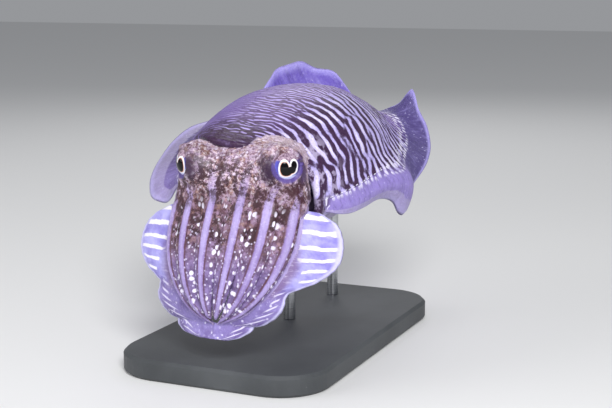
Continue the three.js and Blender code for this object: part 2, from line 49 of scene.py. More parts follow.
# Sizes of the solids, which the skin follows
LENGTH = 160.0
MANTLE_START = np.array([0.0, -42.0, 80.0])
MANTLE_PITCH = 9.5
MANTLE_ROLL = 6.0
HALF_WIDTH = 0.275 * LENGTH
BACK = 0.255 * LENGTH
BELLY = 0.115 * LENGTH
FRONT_SHARE = 0.84
FRONT_HEIGHT_SHARE = 0.86
ROUNDNESS = 2.2
REAR_ROUNDNESS = 1.45
LOBE = 0.145 * LENGTH
LOBE_SHARPNESS = 5
FUNNEL_NOTCH = 0.07 * LENGTH
NOTCH_SHARPNESS = 3
WALL = 3.2
POCKET = 20.0

# Shares of the mantle's length, and how it falls away behind them
WIDEST = 0.32
FRONT_EDGE_UNTIL = 0.5
REAR_FROM, REAR_TO = 0.2, 0.8
FALL_FROM = 0.3
FALL = 0.45
FALL_POWER = 1.5
TAIL_FULLNESS = 2.1
TAIL_BLUNTNESS = 0.75

FIN_FIRST = 0.02
FIN_LAST = 0.972
FIN_ROOT = 4.2
FIN_EDGE = 1.0

HEAD_LENGTH = 30.0
HEAD_ROUNDNESS = 2.4
NECK_ASIDE = 6.0
NECK_CENTRE = 12.5
LEVEL_BY = 20.0
HEAD_ROLL = -1.5

EYE_RADIUS = 7.6
EYE_ALONG = 17.0
EYE_ASIDE = 22.0
EYE_RAISE = 13.5
EYE_TURN = 44.0
EYE_TILT = 4.0
EYE_OPENING = 6.4
EYE_LID = 1.2
EYE_BULGE = np.array([8.2, 10.5, 9.8])
EYE_BULGE_INSET = 2.6

CROWN_LENGTH = 54.0
CROWN_WIDTH = 33.0
CROWN_DEPTH = 15.0
FULL_UNTIL = 0.2
TIP_HALF = 1.6

# Each arm's first and last angle from the crown's upper side and its reach as a share of the crown
ARMS = ((0, 24, 0.97), (24, 53, 1.0), (53, 88, 1.02), (88, 146, 1.14))

# The angles of the ridges along the arms' backs
RIDGES = (12.0, 36.0, 66.0, 96.0)

# Fins by share of their length: the edge's place (share, out, up), and the way the root leaves the body
FIN_EDGES = {
    "left": (
        (0, 3, -1), (0.1, 3, -6), (0.2, 2, -8.5), (0.28, 2, -9.5), (0.33, 4, -11), (0.37, 6.5, -15),
        (0.4, 8, -22), (0.43, 9.5, -25), (0.46, 10.5, -23), (0.5, 9, -18.5), (0.56, 11.5, -15),
        (0.64, 16, -11), (0.7, 18.5, -8), (0.76, 20, -5), (0.82, 19.5, 1.5), (0.87, 17, 8),
        (0.92, 15.5, 17), (0.96, 12, 7), (1, 7, 1),
    ),
    "right": (
        (0, 2, -2), (0.05, 9, -14), (0.08, 18, -15), (0.14, 24, -12.5), (0.2, 27.5, -10),
        (0.27, 30, -7), (0.35, 31, -2), (0.43, 30, 2), (0.5, 27, 3), (0.58, 22, 5), (0.66, 19, 11),
        (0.72, 20, 20), (0.76, 23, 24), (0.8, 21.5, 26), (0.84, 20, 27), (0.88, 17, 23),
        (0.92, 9, 22), (0.95, 5, 15), (0.98, 3.5, 7), (1, 3, 1.5),
    ),
}
FIN_HEADINGS = {
    "left": (
        (0, 2, 0), (0.2, 6, 0), (0.3, 10, 1), (0.38, 17, 1), (0.44, 19, 0), (0.49, 15, -4),
        (0.56, 10, -7), (0.68, 11, -7), (0.8, 13, -5), (0.9, 14, 0), (1, 3, 0),
    ),
    "right": (
        (0, 2, 0), (0.1, 9, -4), (0.3, 15, 1), (0.5, 14, -2), (0.72, 16, 2), (0.84, 16, 4),
        (0.95, 5, 6), (1, 1, 0),
    ),
}

# Keels by share of the crown's length: their width
KEEL_WIDTHS = {
    "left": (
        (0, 8), (0.07, 16), (0.16, 20), (0.3, 22.5), (0.44, 22.5), (0.58, 17), (0.68, 9), (0.72, 8),
        (0.8, 10.5), (0.92, 14), (1.02, 15), (1.1, 10), (1.14, 4),
    ),
    "right": (
        (0, 9), (0.07, 19), (0.16, 25), (0.3, 28), (0.44, 28), (0.58, 23.5), (0.68, 16.5), (0.72, 17),
        (0.8, 21), (0.92, 25), (1.02, 26), (1.1, 20), (1.14, 8),
    ),
}


# Small helpers
def ease(x, start, end):
    """0 before start, 1 after end, smooth between them."""
    t = np.clip((np.asarray(x, float) - start) / (end - start), 0, 1)
    return t * t * (3 - 2 * t)


def lerp(a, b, t):
    return a + (b - a) * t


def through(stations, x):
    """A smooth curve through stations (x, value), flat beyond its ends."""
    xs, ys = np.array(stations, float).T
    slope = np.empty(len(xs))
    slope[1:-1] = (ys[2:] - ys[:-2]) / (xs[2:] - xs[:-2])
    slope[0] = (ys[1] - ys[0]) / (xs[1] - xs[0])
    slope[-1] = (ys[-1] - ys[-2]) / (xs[-1] - xs[-2])
    x = np.clip(x, xs[0], xs[-1])
    i = np.clip(np.searchsorted(xs, x, side="right") - 1, 0, len(xs) - 2)
    span = xs[i + 1] - xs[i]
    t = (x - xs[i]) / span
    u = 1 - t
    curve = ys[i] * u * u * (1 + 2 * t) + ys[i + 1] * t * t * (3 - 2 * t)
    return curve + slope[i] * span * t * u * u - slope[i + 1] * span * t * t * u


def through_pairs(stations, x):
    """Smooth curves through stations (x, a, b), as pairs (a, b)."""
    return np.stack([through([(row[0], row[k]) for row in stations], x) for k in (1, 2)], -1)


def signed_power(x, power):
    return np.sign(x) * np.abs(x) ** power


def unit(v):
    return v / np.maximum(np.linalg.norm(v, axis=-1, keepdims=True), 1e-12)


def turned(vector, axis, degrees):
    """The vector turned about a unit axis."""
    return np.array(Matrix.Rotation(math.radians(degrees), 3, Vector(axis)) @ Vector(vector))


def softest(a, b, width):
    """The smaller of two distances, rounded where they are alike."""
    h = np.clip(0.5 + 0.5 * (b - a) / width, 0, 1)
    return lerp(b, a, h) - width * h * (1 - h)


def loft(rings, first, last):
    """Vertices and faces of a closed surface from rings of points and its two end points."""
    count, columns = rings.shape[:2]
    vertices = np.concatenate([[first], rings.reshape(-1, 3), [last]])
    index = 1 + np.arange(count * columns).reshape(count, columns)
    following = np.roll(index, -1, 1)
    quads = np.stack([index[:-1], index[1:], following[1:], following[:-1]], -1).reshape(-1, 4)
    end = len(vertices) - 1
    faces = [tuple(q) for q in quads.tolist()]
    faces += [(0, int(a), int(b)) for a, b in zip(index[0], following[0])]
    faces += [(end, int(b), int(a)) for a, b in zip(index[-1], following[-1])]
    return vertices, faces


def out_and_back(columns):
    """Columns up to the last one and back again to the first."""
    return np.concatenate([columns, columns[:, -2::-1]], 1)


def sheet_rings(middle, normal, outward, half, edge):
    """Rings round a thin sheet: over its upper face, round its edge and back over its lower face."""
    tip = middle[:, -1:] + outward[:, -1:] * half[:, -1:] * edge
    over, under = middle + normal * half, middle - normal * half
    return np.concatenate([over[:, :-1], tip, under[:, -2::-1]], 1)


# The kinds of skin, as marks that the skin's pattern reads; the funnel has none
ON_MANTLE, ON_HEAD, ON_KEEL = np.eye(3)

# The mantle with its fins: one closed surface, as rings from the pocket's floor to the tail
MANTLE_TURN = np.array(Matrix.Rotation(math.radians(MANTLE_PITCH), 3, "X")) @ np.array(
    Matrix.Rotation(math.radians(MANTLE_ROLL), 3, "Y")
)
OUTLINE_SAMPLES = 4001
MANTLE_ROWS = 205
TAIL_CROWDING = 1.15
FIRST_ROW = 0.004
TOP_COLUMNS = 32
FIN_COLUMNS = 26
BELLY_COLUMNS = 24

LIP_HALF = WALL / 2
LIP_DEPTH = 1.2
LIP_ROWS = 8
POCKET_ROWS = 7

# Where along the mantle the fins rise and fade, how their columns are spaced and how they thin out
FIN_RISES = (0.008, 0.05)
FIN_FADES = (0.955, 0.993)
FIN_SPACING = 0.9
FIN_THINNING = 0.6
FIN_ROUND_EDGE = 0.5
FIN_STARTS_AT = 2.2
FIN_STARTS_WITHIN = 0.25

# The height at which the mantle turns into a fin, as a length and as a share at most
FILLET_HEIGHT = 3.4
FILLET_SHARE = 0.45

# How many columns a crease is rounded over, how often and how strongly each time
CREASE_COLUMNS = 3.2
CREASE_ROUNDS = 16
CREASE_SMOOTHING = 0.7

# How pale the fins are below, and the sines of the angles below level where the belly sets in
FIN_BELOW = 0.6
BELLY_FROM, BELLY_TO = 0.02, 0.3
FIN_MARK_UNTIL = 0.2


def in_mantle(p):
    return p @ MANTLE_TURN.T + MANTLE_START


def oval(u, front_share):
    u = np.asarray(u, float)
    front = front_share + (1 - front_share) * (1 - (1 - u / WIDEST) ** 2)
    beyond = np.clip((u - WIDEST) / (1 - WIDEST), 0, 1)
    return np.where(u < WIDEST, front, (1 - beyond**TAIL_FULLNESS) ** TAIL_BLUNTNESS)


def front_edge(angle):
    over = np.maximum(np.sin(angle), 0) ** LOBE_SHARPNESS
    under = np.maximum(-np.sin(angle), 0) ** NOTCH_SHARPNESS
    return LOBE * over - FUNNEL_NOTCH * under


def back_height(u):
    return BACK * (1 - FALL * np.maximum((u - FALL_FROM) / (1 - FALL_FROM), 0) ** FALL_POWER)


def back_roundness(u):
    return lerp(ROUNDNESS, REAR_ROUNDNESS, ease(u, REAR_FROM, REAR_TO))


def mantle_point(u, angle, inset=0.0, depth=0.0, flat=0.0):
    above = np.sin(angle) > 0
    high = np.where(above, back_height(u), BELLY) * oval(u, FRONT_HEIGHT_SHARE)
    power = 2 / np.where(above, back_roundness(u), ROUNDNESS)
    front = -front_edge(angle) * np.maximum(1 - u / FRONT_EDGE_UNTIL, 0) ** 2 * (1 - flat)
    x = (HALF_WIDTH * oval(u, FRONT_SHARE) - inset) * signed_power(np.cos(angle), power)
    y = u * LENGTH + front + depth
    z = (high - inset) * signed_power(np.sin(angle), power)
    return np.stack([x, y + 0 * x, z], -1)


def mantle_outline():
    """Samples of the mantle's outline from above: length along it, u, place and outward direction."""
    u = 1 - (1 - np.linspace(0, 1, OUTLINE_SAMPLES)) ** 2
    p = np.stack([HALF_WIDTH * oval(u, FRONT_SHARE), u * LENGTH], -1)
    length = np.concatenate([[0], np.cumsum(np.linalg.norm(np.diff(p, axis=0), axis=1))])
    along = unit(np.gradient(p, axis=0))
    return length / length[-1], u, p, np.stack([along[:, 1], -along[:, 0]], -1)


def fin_sheet(side, share, t):
    """Middle of a fin's sheet, (out, up) from its root, and its direction, for shares by t."""
    corner = through_pairs(FIN_HEADINGS[side], share)[:, None]
    edge = through_pairs(FIN_EDGES[side], share)[:, None]
    t = t[None, :, None]
    middle = 2 * t * (1 - t) * corner + t * t * edge
    return middle, unit(2 * (1 - t) * corner + 2 * t * (edge - corner) + 1e-9)


def column_angles(top_end, low_end, sign):
    """Angles of one side's columns: down the back, round the fin, and under the belly."""
    top_end, low_end = top_end[:, None], -low_end[:, None]
    top = lerp(np.pi / 2, top_end, np.linspace(0, 1, TOP_COLUMNS, endpoint=False))
    fin = lerp(top_end, low_end, np.linspace(0, 1, 2 * FIN_COLUMNS + 1))
    under = lerp(low_end, -np.pi / 2, np.linspace(0, 1, BELLY_COLUMNS + 1)[1:])
    angles = np.concatenate([top, fin, under], 1)
    return angles if sign > 0 else np.pi - angles


def fin_rings(side, sign, share, root, away):
    """A fin's points row by row, over its upper face and back over its lower one, and their t."""
    spacing = np.linspace(0, 1, FIN_COLUMNS + 1) ** FIN_SPACING
    span = np.maximum(np.linalg.norm(fin_sheet(side, share, spacing)[0][:, -1], axis=-1), 1)
    start = np.minimum(FIN_STARTS_AT / span, FIN_STARTS_WITHIN)
    t = lerp(start[:, None], 1, spacing)
    rows = [fin_sheet(side, share[i : i + 1], t[i]) for i in range(len(share))]
    middle, heading = (np.concatenate(part) for part in zip(*rows))
    half = lerp(FIN_ROOT, FIN_EDGE, t**FIN_THINNING)[..., None] / 2
    normal = np.stack([-heading[..., 1], heading[..., 0]], -1)
    sheet = sheet_rings(middle, normal, heading, half, FIN_ROUND_EDGE)
    x = sign * (root[:, None, 0] + away[:, None, 0] * sheet[..., 0])
    y = root[:, None, 1] + away[:, None, 1] * sheet[..., 0]
    return np.stack([x, y, sheet[..., 1]], -1), out_and_back(t)


def soften_creases(points):
    """Rounds the creases where the fins leave the mantle, and the back's ridge."""
    columns = points.shape[1]
    creases = [TOP_COLUMNS, TOP_COLUMNS + 2 * FIN_COLUMNS]
    creases += [columns - c for c in creases] + [0, columns]
    column = np.arange(columns)
    near = np.max([np.exp(-(((column - c) / CREASE_COLUMNS) ** 2)) for c in creases], 0)[None, :, None]
    for _ in range(CREASE_ROUNDS):
        average = (np.roll(points, 1, 1) + np.roll(points, -1, 1)) / 2
        points = lerp(points, average, near * CREASE_SMOOTHING)
    return points


def pocket_rings(angles):
    """Rings from the pocket's floor forward along its wall and round the lip."""
    rings = []
    for k in range(1, LIP_ROWS + 1):
        phi = math.pi * k / LIP_ROWS
        inset = LIP_HALF * (1 - math.cos(phi))
        depth = LIP_DEPTH * (1 - math.sin(phi))
        rings.append(mantle_point(0.0, angles, inset, depth, 0.0))
    for k in range(1, POCKET_ROWS + 1):
        flat = k / POCKET_ROWS
        rings.append(mantle_point(0.0, angles, WALL, lerp(LIP_DEPTH, POCKET, flat), flat))
    return np.concatenate(rings[::-1])


def mantle_rings():
    """Points by ring and column, their angles, their shares of a fin and how far within the pocket."""
    share, us, place, out = mantle_outline()
    rows = 1 - (1 - np.linspace(0, 1, MANTLE_ROWS, endpoint=False)) ** TAIL_CROWDING
    rows = rows[rows > FIRST_ROW]
    u = np.interp(rows, share, us)
    root = np.stack([np.interp(rows, share, place[:, k]) for k in (0, 1)], -1)
    away = np.stack([np.interp(rows, share, out[:, k]) for k in (0, 1)], -1)
    fin_share = np.clip((rows - FIN_FIRST) / (FIN_LAST - FIN_FIRST), 0, 1)
    presence = (ease(rows, *FIN_RISES) * (1 - ease(rows, *FIN_FADES)))[:, None]

    high = back_height(u) * oval(u, FRONT_HEIGHT_SHARE)
    low = BELLY * oval(u, FRONT_HEIGHT_SHARE)
    top_end = np.arcsin(np.minimum(FILLET_HEIGHT / high, FILLET_SHARE) ** (back_roundness(u) / 2))
    low_end = np.arcsin(np.minimum(FILLET_HEIGHT / low, FILLET_SHARE) ** (ROUNDNESS / 2))
    fin_columns = slice(TOP_COLUMNS, TOP_COLUMNS + 2 * FIN_COLUMNS + 1)
    halves = []
    for side, sign in SIDES:
        angles = column_angles(top_end, low_end, sign)
        points = mantle_point(u[:, None], angles)
        fin_points, t = fin_rings(side, sign, fin_share, root, away)
        points[:, fin_columns] = lerp(points[:, fin_columns], fin_points, presence[..., None])
        fin_t = np.zeros(points.shape[:2])
        fin_t[:, fin_columns] = t * presence
        halves.append((angles, points, fin_t))

    # The left half down, then the right half up, with the two shared midlines once
    angles, points, fin_t = (np.concatenate([a, b[:, -2:0:-1]], 1) for a, b in zip(*halves))
    points = soften_creases(points)

    inside = pocket_rings(angles[:1])
    count, columns = inside.shape[:2]
    points = np.concatenate([inside, points])
    angles = np.concatenate([np.repeat(angles[:1], count, 0), angles])
    fin_t = np.concatenate([np.zeros((count, columns)), fin_t])
    within = np.concatenate([np.linspace(1, 0, count), np.zeros(len(rows))])
    return points, angles, fin_t, within


def mantle_part():
    points, angles, fin_t, within = mantle_rings()
    steps = np.linalg.norm(np.diff(points, axis=1, append=points[:, :1]), axis=-1)
    run = np.cumsum(steps, 1) - steps
    total = run[:, -1:] + steps[:, -1:]
    lateral = np.where(run < total / 2, run, run - total)
    belly = ease(-np.sin(angles), BELLY_FROM, BELLY_TO)
    fin_below = FIN_BELOW * (np.sin(angles) < 0)
    marks = {
        "body": np.stack([lateral, points[..., 1], fin_t], -1),
        "kind": np.broadcast_to(ON_MANTLE, points.shape),
        "within": np.broadcast_to(within[:, None], points.shape[:2]),
        "under": lerp(belly, fin_below, ease(fin_t, 0, FIN_MARK_UNTIL)),
    }
    tail = in_mantle(np.array([0.0, LENGTH, 0.0]))
    floor = in_mantle(np.array([0.0, POCKET, 0.0]))
    return loft(in_mantle(points), floor, tail), marks


# The spine of the head and the arms: its pitch, yaw and lean in degrees by station
SPINE_START = -(POCKET - 0.3)
SPINE_PITCH = (
    (SPINE_START, -10), (-2, -8), (6, 14), (HEAD_LENGTH * 0.55, 50), (HEAD_LENGTH, 68),
    (HEAD_LENGTH + CROWN_LENGTH * 0.3, 73), (HEAD_LENGTH + CROWN_LENGTH * 1.15, 75),
)
SPINE_YAW = ((SPINE_START, 0), (8, 4), (HEAD_LENGTH, 3), (HEAD_LENGTH + CROWN_LENGTH, 0))
SPINE_LEAN = ((8, 0), (HEAD_LENGTH, -5), (HEAD_LENGTH + CROWN_LENGTH, -6))
SPINE_STEP = 0.5
SPINE_REACH = 1.3


def spine_frames():
    """Point, forward, lateral and dorsal at each step along the spine."""
    stations = np.arange(SPINE_START, HEAD_LENGTH + CROWN_LENGTH * SPINE_REACH, SPINE_STEP)
    point = in_mantle(np.array([NECK_ASIDE, -SPINE_START, NECK_CENTRE]))
    rows = []
    for s in stations:
        yaw = math.radians(float(through(SPINE_YAW, s)))
        pitch = math.radians(float(through(SPINE_PITCH, s)))
        roll = -lerp(MANTLE_ROLL, HEAD_ROLL, float(ease(s, SPINE_START, LEVEL_BY)))
        level = math.cos(pitch)
        forward = np.array([math.sin(yaw) * level, -math.cos(yaw) * level, -math.sin(pitch)])
        lateral = turned((math.cos(yaw), math.sin(yaw), 0), forward, roll)
        dorsal = np.cross(forward, lateral)
        forward = turned(forward, dorsal, float(through(SPINE_LEAN, s)))
        rows.append((point.copy(), forward, lateral, dorsal))
        point = point + forward * SPINE_STEP
    return stations, *(np.array(part) for part in zip(*rows))


SPINE_AT, SPINE_POINTS, SPINE_FORWARD, SPINE_LATERAL, SPINE_DORSAL = spine_frames()


def spine(s):
    """Point, forward, lateral and dorsal at the stations s."""
    s = np.asarray(s, float)

    def at(rows):
        return np.stack([np.interp(s, SPINE_AT, rows[:, k]) for k in range(3)], -1)

    before = np.minimum(s - SPINE_AT[0], 0)[..., None]
    forward = unit(at(SPINE_FORWARD))
    return at(SPINE_POINTS) + forward * before, forward, unit(at(SPINE_LATERAL)), unit(at(SPINE_DORSAL))


def beside_spine(s, aside, up):
    point, _, lateral, dorsal = spine(s)
    return point + lateral * np.asarray(aside)[..., None] + dorsal * np.asarray(up)[..., None]


# The crown of arms, by share of its length
CROWN_TAPER = 0.6
INNER_AT_ROOT, INNER_AT_TIP = 0.3, 0.56
INNER_UNTIL = 0.4
ARMS_UNDER = (115, 150)


def crown_station(share):
    return HEAD_LENGTH + share * CROWN_LENGTH


def crown_half(share, at_root):
    beyond = np.clip((share - FULL_UNTIL) / (1 - FULL_UNTIL), 0, 1)
    return TIP_HALF + (at_root - TIP_HALF) * (1 - beyond**2) ** CROWN_TAPER


def crown_point(share, angle, radius):
    x = crown_half(share, CROWN_WIDTH) * radius * np.sin(angle)
    z = crown_half(share, CROWN_DEPTH) * radius * np.cos(angle)
    return beside_spine(crown_station(share), x, z)


def inner_share(share):
    """Where the arms' inner faces lie, as a share of the crown's radius."""
    return lerp(INNER_AT_ROOT, INNER_AT_TIP, ease(share, 0, INNER_UNTIL))


def arm_marks(theta, station):
    """Arc from the head's midline, and distances from the nearest ridge and from the nearest middle
    between two ridges, at angles in degrees."""
    share = np.maximum(station - HEAD_LENGTH, 0) / CROWN_LENGTH
    fine = np.linspace(0, 180, 181)
    wide, deep = crown_half(share, CROWN_WIDTH)[..., None], crown_half(share, CROWN_DEPTH)[..., None]
    speed = np.hypot(wide * np.cos(np.radians(fine)), deep * np.sin(np.radians(fine))) * math.radians(1)
    arc = np.cumsum(speed, -1)

    def at(degrees):
        whole = np.clip(np.abs(degrees), 0, 179.9)
        low = whole.astype(int)
        a = np.take_along_axis(arc, low[..., None], -1)[..., 0]
        b = np.take_along_axis(arc, low[..., None] + 1, -1)[..., 0]
        return lerp(a, b, whole - low)

    here = at(theta)
    ridges = np.stack([at(np.full_like(here, r)) for r in RIDGES], -1)
    between = np.concatenate([0 * ridges[..., :1], (ridges[..., 1:] + ridges[..., :-1]) / 2], -1)
    from_ridge = np.abs(here[..., None] - ridges).min(-1)
    from_middle = np.abs(here[..., None] - between).min(-1)
    return np.stack([np.sign(theta) * here, from_ridge, from_middle], -1)


def crown_marks(theta, station, outside):
    """Marks of the head's and the arms' skin at angles in degrees from the upper side."""
    return {
        "crown": np.stack([theta, station, outside], -1),
        "arms": arm_marks(theta, station),
        "kind": np.broadcast_to(ON_HEAD, (*theta.shape, 3)),
        "under": ease(np.abs(theta), *ARMS_UNDER),
    }


# The head: rays from the spine out to the joined shape of head, eye bulges and lids
HEAD_WIDTHS = ((SPINE_START, 24), (0, 24.5), (8, 25.5), (14, 28), (20, 30.5), (HEAD_LENGTH, CROWN_WIDTH))
HEAD_ABOVE = ((SPINE_START, 13), (0, 14), (8, 15.5), (16, 18.5), (24, 17.5), (HEAD_LENGTH, CROWN_DEPTH))
HEAD_BELOW = ((SPINE_START, 14), (0, 15), (12, 16), (22, 15.5), (HEAD_LENGTH, CROWN_DEPTH))
WEB = ((0, 1), (27, 1), (31, 0.975), (34, 0.93), (37, 0.87), (40, 0.82))
MOUTH_ROWS = (
    (40.6, 0.76), (40, 0.7), (38, 0.62), (35, 0.52), (32.5, 0.42), (31.2, 0.33), (31.5, 0.24),
    (33, 0.17), (33.4, 0.11), (32.6, 0.06),
)
HEAD_FROM = SPINE_START - 1.2
NECK_UNTIL, NECK_ROWS = 4, 18
WEB_FROM, HEAD_ROWS = 31, 46
WEB_UNTIL, WEB_ROWS = 40, 12
HEAD_COLUMNS = 176
ROUND_FROM, ROUND_BY = 18, 29

# How softly the eye bulges and lids join the head, and how far a lid's middle stands off the opening
BULGE_SOFTNESS = 4.5
LID_SOFTNESS = 1.6
LID_STANDS_OFF = 0.55

# The search along a ray for the surface
RAY_FROM = 0.9
RAY_BEYOND = 16
RAY_HALVINGS = 26

# The hollow behind each eyeball, and the angles from its gaze between which it ends
HOLLOW_BEHIND = 0.7
HOLLOW_REACH = 14
HOLLOW_ENDS = (46, 55)


def eye_place(sign):
    """An eye's centre and the way it looks."""
    _, forward, lateral, _ = spine(EYE_ALONG)
    centre = beside_spine(EYE_ALONG, sign * EYE_ASIDE, EYE_RAISE)
    level = unit(np.array([forward[0], forward[1], 0.0]))
    turn, tilt = math.radians(EYE_TURN), math.radians(EYE_TILT)
    look = level * math.cos(turn) + lateral * sign * math.sin(turn) + np.array([0, 0, math.sin(tilt)])
    return centre, unit(look)


def eye_view(points, sign, gaze_forward=0.0):
    """Points seen from in front of an eye: away from the head's middle, upward, and to the front."""
    centre, look = eye_place(sign)
    look = turned(look, (0, 0, 1), -sign * gaze_forward)
    outward = unit(np.cross(look, [0, 0, 1.0])) * -sign
    if outward @ spine(EYE_ALONG)[2] * sign < 0:
        outward = -outward
    upward = np.cross(look, outward)
    upward = upward * np.sign(upward[2])
    offset = points - centre
    return np.stack([offset @ outward, offset @ upward, offset @ look], -1)


def eye_marks(points):
    """Each point as seen from in front of the nearer eye."""
    views = np.array([eye_view(points, sign) for _, sign in SIDES])
    nearer = np.linalg.norm(views, axis=-1).argmin(0)
    return views[nearer, np.arange(len(points))]


def head_distance(points, base):
    """How far points lie outside the head, where base is that distance for the head alone."""
    distance = base
    _, forward, lateral, dorsal = spine(EYE_ALONG)
    for _, sign in SIDES:
        offset = points - beside_spine(EYE_ALONG, sign * (EYE_ASIDE - EYE_BULGE_INSET), EYE_RAISE)
        local = np.stack([offset @ lateral, offset @ forward, offset @ dorsal], -1)
        reach = np.linalg.norm(local / EYE_BULGE, axis=-1)
        slope = np.maximum(np.linalg.norm(local / EYE_BULGE**2, axis=-1), 1e-9)
        distance = softest(distance, reach * (reach - 1) / slope, BULGE_SOFTNESS)
    for _, sign in SIDES:
        centre, look = eye_place(sign)
        offset = points - centre
        along = offset @ look
        aside = np.linalg.norm(offset - along[..., None] * look, axis=-1)
        rim = math.sqrt(EYE_RADIUS**2 - EYE_OPENING**2)
        lid = np.hypot(aside - (EYE_OPENING + EYE_LID * LID_STANDS_OFF), along - rim) - EYE_LID
        distance = softest(distance, lid, LID_SOFTNESS)
    return distance


def head_radius(s, dx, dz, radius):
    """The head's radius along rays from the spine, where radius is that of the head alone."""
    near, far = radius * RAY_FROM, radius + RAY_BEYOND
    for _ in range(RAY_HALVINGS):
        middle = (near + far) / 2
        inside = head_distance(beside_spine(s, dx * middle, dz * middle), middle - radius) < 0
        near = np.where(inside, middle, near)
        far = np.where(inside, far, middle)
    return near


def hollow_eyes(points):
    """Draws the skin in behind each eyeball, where its lids leave it open."""
    for _, sign in SIDES:
        centre, look = eye_place(sign)
        offset = points - centre
        length = np.linalg.norm(offset, axis=-1)
        off_gaze = np.degrees(np.arccos(np.clip((offset @ look) / length, -1, 1)))
        sunk = np.minimum(length, EYE_RADIUS - HOLLOW_BEHIND)
        sunk = lerp(length, sunk, 1 - ease(off_gaze, *HOLLOW_ENDS))
        drawn_in = centre + unit(offset) * sunk[..., None]
        points = np.where((length < HOLLOW_REACH)[..., None], drawn_in, points)
    return points


def head_part():
    outer = np.concatenate([
        np.linspace(HEAD_FROM, NECK_UNTIL, NECK_ROWS, endpoint=False),
        np.linspace(NECK_UNTIL, WEB_FROM, HEAD_ROWS, endpoint=False),
        np.linspace(WEB_FROM, WEB_UNTIL, WEB_ROWS),
    ])
    mouth_stations, mouth_shares = zip(*MOUTH_ROWS)
    web = np.concatenate([through(WEB, outer), mouth_shares])[:, None]
    angles = np.linspace(0, 2 * np.pi, HEAD_COLUMNS, endpoint=False)
    s, angle = np.meshgrid(np.concatenate([outer, mouth_stations]), angles, indexing="ij")
    share = (s - HEAD_LENGTH) / CROWN_LENGTH
    on_crown = s > HEAD_LENGTH
    wide = np.where(on_crown, crown_half(share, CROWN_WIDTH), through(HEAD_WIDTHS, s)) * web
    tall = np.where(np.sin(angle) > 0, through(HEAD_ABOVE, s), through(HEAD_BELOW, s))
    tall = np.where(on_crown, crown_half(share, CROWN_DEPTH), tall) * web
    power = 2 / lerp(HEAD_ROUNDNESS, 2.0, ease(s, ROUND_FROM, ROUND_BY))
    x = wide * signed_power(np.cos(angle), power)
    z = tall * signed_power(np.sin(angle), power)
    radius = np.maximum(np.hypot(x, z), 1e-6)
    dx, dz = x / radius, z / radius
    outside = np.ones_like(s)
    outside[len(outer):] = -1
    skin_rows = slice(len(outer))
    radius[skin_rows] = head_radius(s[skin_rows], dx[skin_rows], dz[skin_rows], radius[skin_rows])
    points = hollow_eyes(beside_spine(s, dx * radius, dz * radius))
    theta = np.degrees(np.arctan2(dx * radius / CROWN_WIDTH, dz * radius / CROWN_DEPTH))
    first, last = spine(HEAD_FROM)[0], spine(MOUTH_ROWS[-1][0])[0]
    return loft(points, first, last), crown_marks(theta, s, outside)


# Arms: each starts sunk in the head and ends in a rounded tip
ARM_SUNK_BY = 0.24
ARM_ROWS, ARM_COLUMNS, ARM_END_ROWS = 80, 40, 4
ARM_ROUND_END = 0.03
ARM_TAPER, ARM_TAPERS_OVER = 0.3, 0.12
ARMS_OVERLAP, ARMS_PART = 0.35, -0.2
ARMS_PART_FROM, ARMS_PART_BY = 0.3, 0.8
ARM_SQUARENESS = 0.8
ARM_INNER_WIDTH = 0.9
ARM_SUNK_RADIUS, ARM_OUT_BY = 0.88, 0.06
ARM_THINNEST = 0.02
RIDGE_HEIGHT, RIDGE_SPREAD = 0.55, 4
RIDGE_RISES, RIDGE_FADES_OVER = (-0.1, 0.15), 0.15
RIDGE_SIDE = 0.2


def arm_part(arm, sign):
    start, end, reach = arm
    straight = reach - ARM_ROUND_END
    quarter = np.linspace(0, np.pi / 2, ARM_END_ROWS + 2)[1:-1]
    rounding = straight + ARM_ROUND_END * np.sin(quarter)
    shares = np.concatenate([np.linspace(-ARM_SUNK_BY, straight, ARM_ROWS), rounding])
    turns = np.linspace(0, 2 * np.pi, ARM_COLUMNS, endpoint=False)
    share, turn = np.meshgrid(shares, turns, indexing="ij")
    round_end = np.sqrt(np.clip(1 - (np.maximum(share - straight, 0) / ARM_ROUND_END) ** 2, 0, 1))
    taper = 1 - ARM_TAPER * ease(share, reach - ARM_TAPERS_OVER, reach)
    middle_angle = math.radians(start + end) / 2
    local = (crown_half(share, CROWN_WIDTH) + crown_half(share, CROWN_DEPTH)) / 2
    overlap = lerp(ARMS_OVERLAP, ARMS_PART, ease(share, ARMS_PART_FROM, ARMS_PART_BY))
    half = np.maximum(math.radians(end - start) / 2 * taper + overlap / local, ARM_THINNEST) * round_end
    inner = inner_share(share)
    outward = signed_power(np.sin(turn), ARM_SQUARENESS)
    across = signed_power(np.cos(turn), ARM_SQUARENESS) * half
    radial = outward * (1 - inner) / 2 * round_end
    narrow = np.where(radial < 0, ARM_INNER_WIDTH, 1)
    sink = lerp(ARM_SUNK_RADIUS, 1.0, ease(share, -ARM_SUNK_BY, ARM_OUT_BY))
    angle = sign * (middle_angle + across * narrow)
    points = crown_point(share, angle, ((1 + inner) / 2 + radial) * sink)

    # The ridge along the arm's back
    theta, ridge_at = np.degrees(angle), RIDGES[ARMS.index(arm)]
    fading = 1 - ease(share, reach - RIDGE_FADES_OVER, reach)
    ridge = np.exp(-(((np.abs(theta) - ridge_at) / RIDGE_SPREAD) ** 2)) * (np.sin(turn) > RIDGE_SIDE)
    ridge *= ease(share, *RIDGE_RISES) * fading * RIDGE_HEIGHT
    points = points + unit(points - spine(crown_station(share))[0]) * ridge[..., None]
    last = crown_point(reach, sign * middle_angle, (1 + inner_share(reach)) / 2)
    return loft(points, points[0].mean(0), last), crown_marks(theta, crown_station(share), outward)


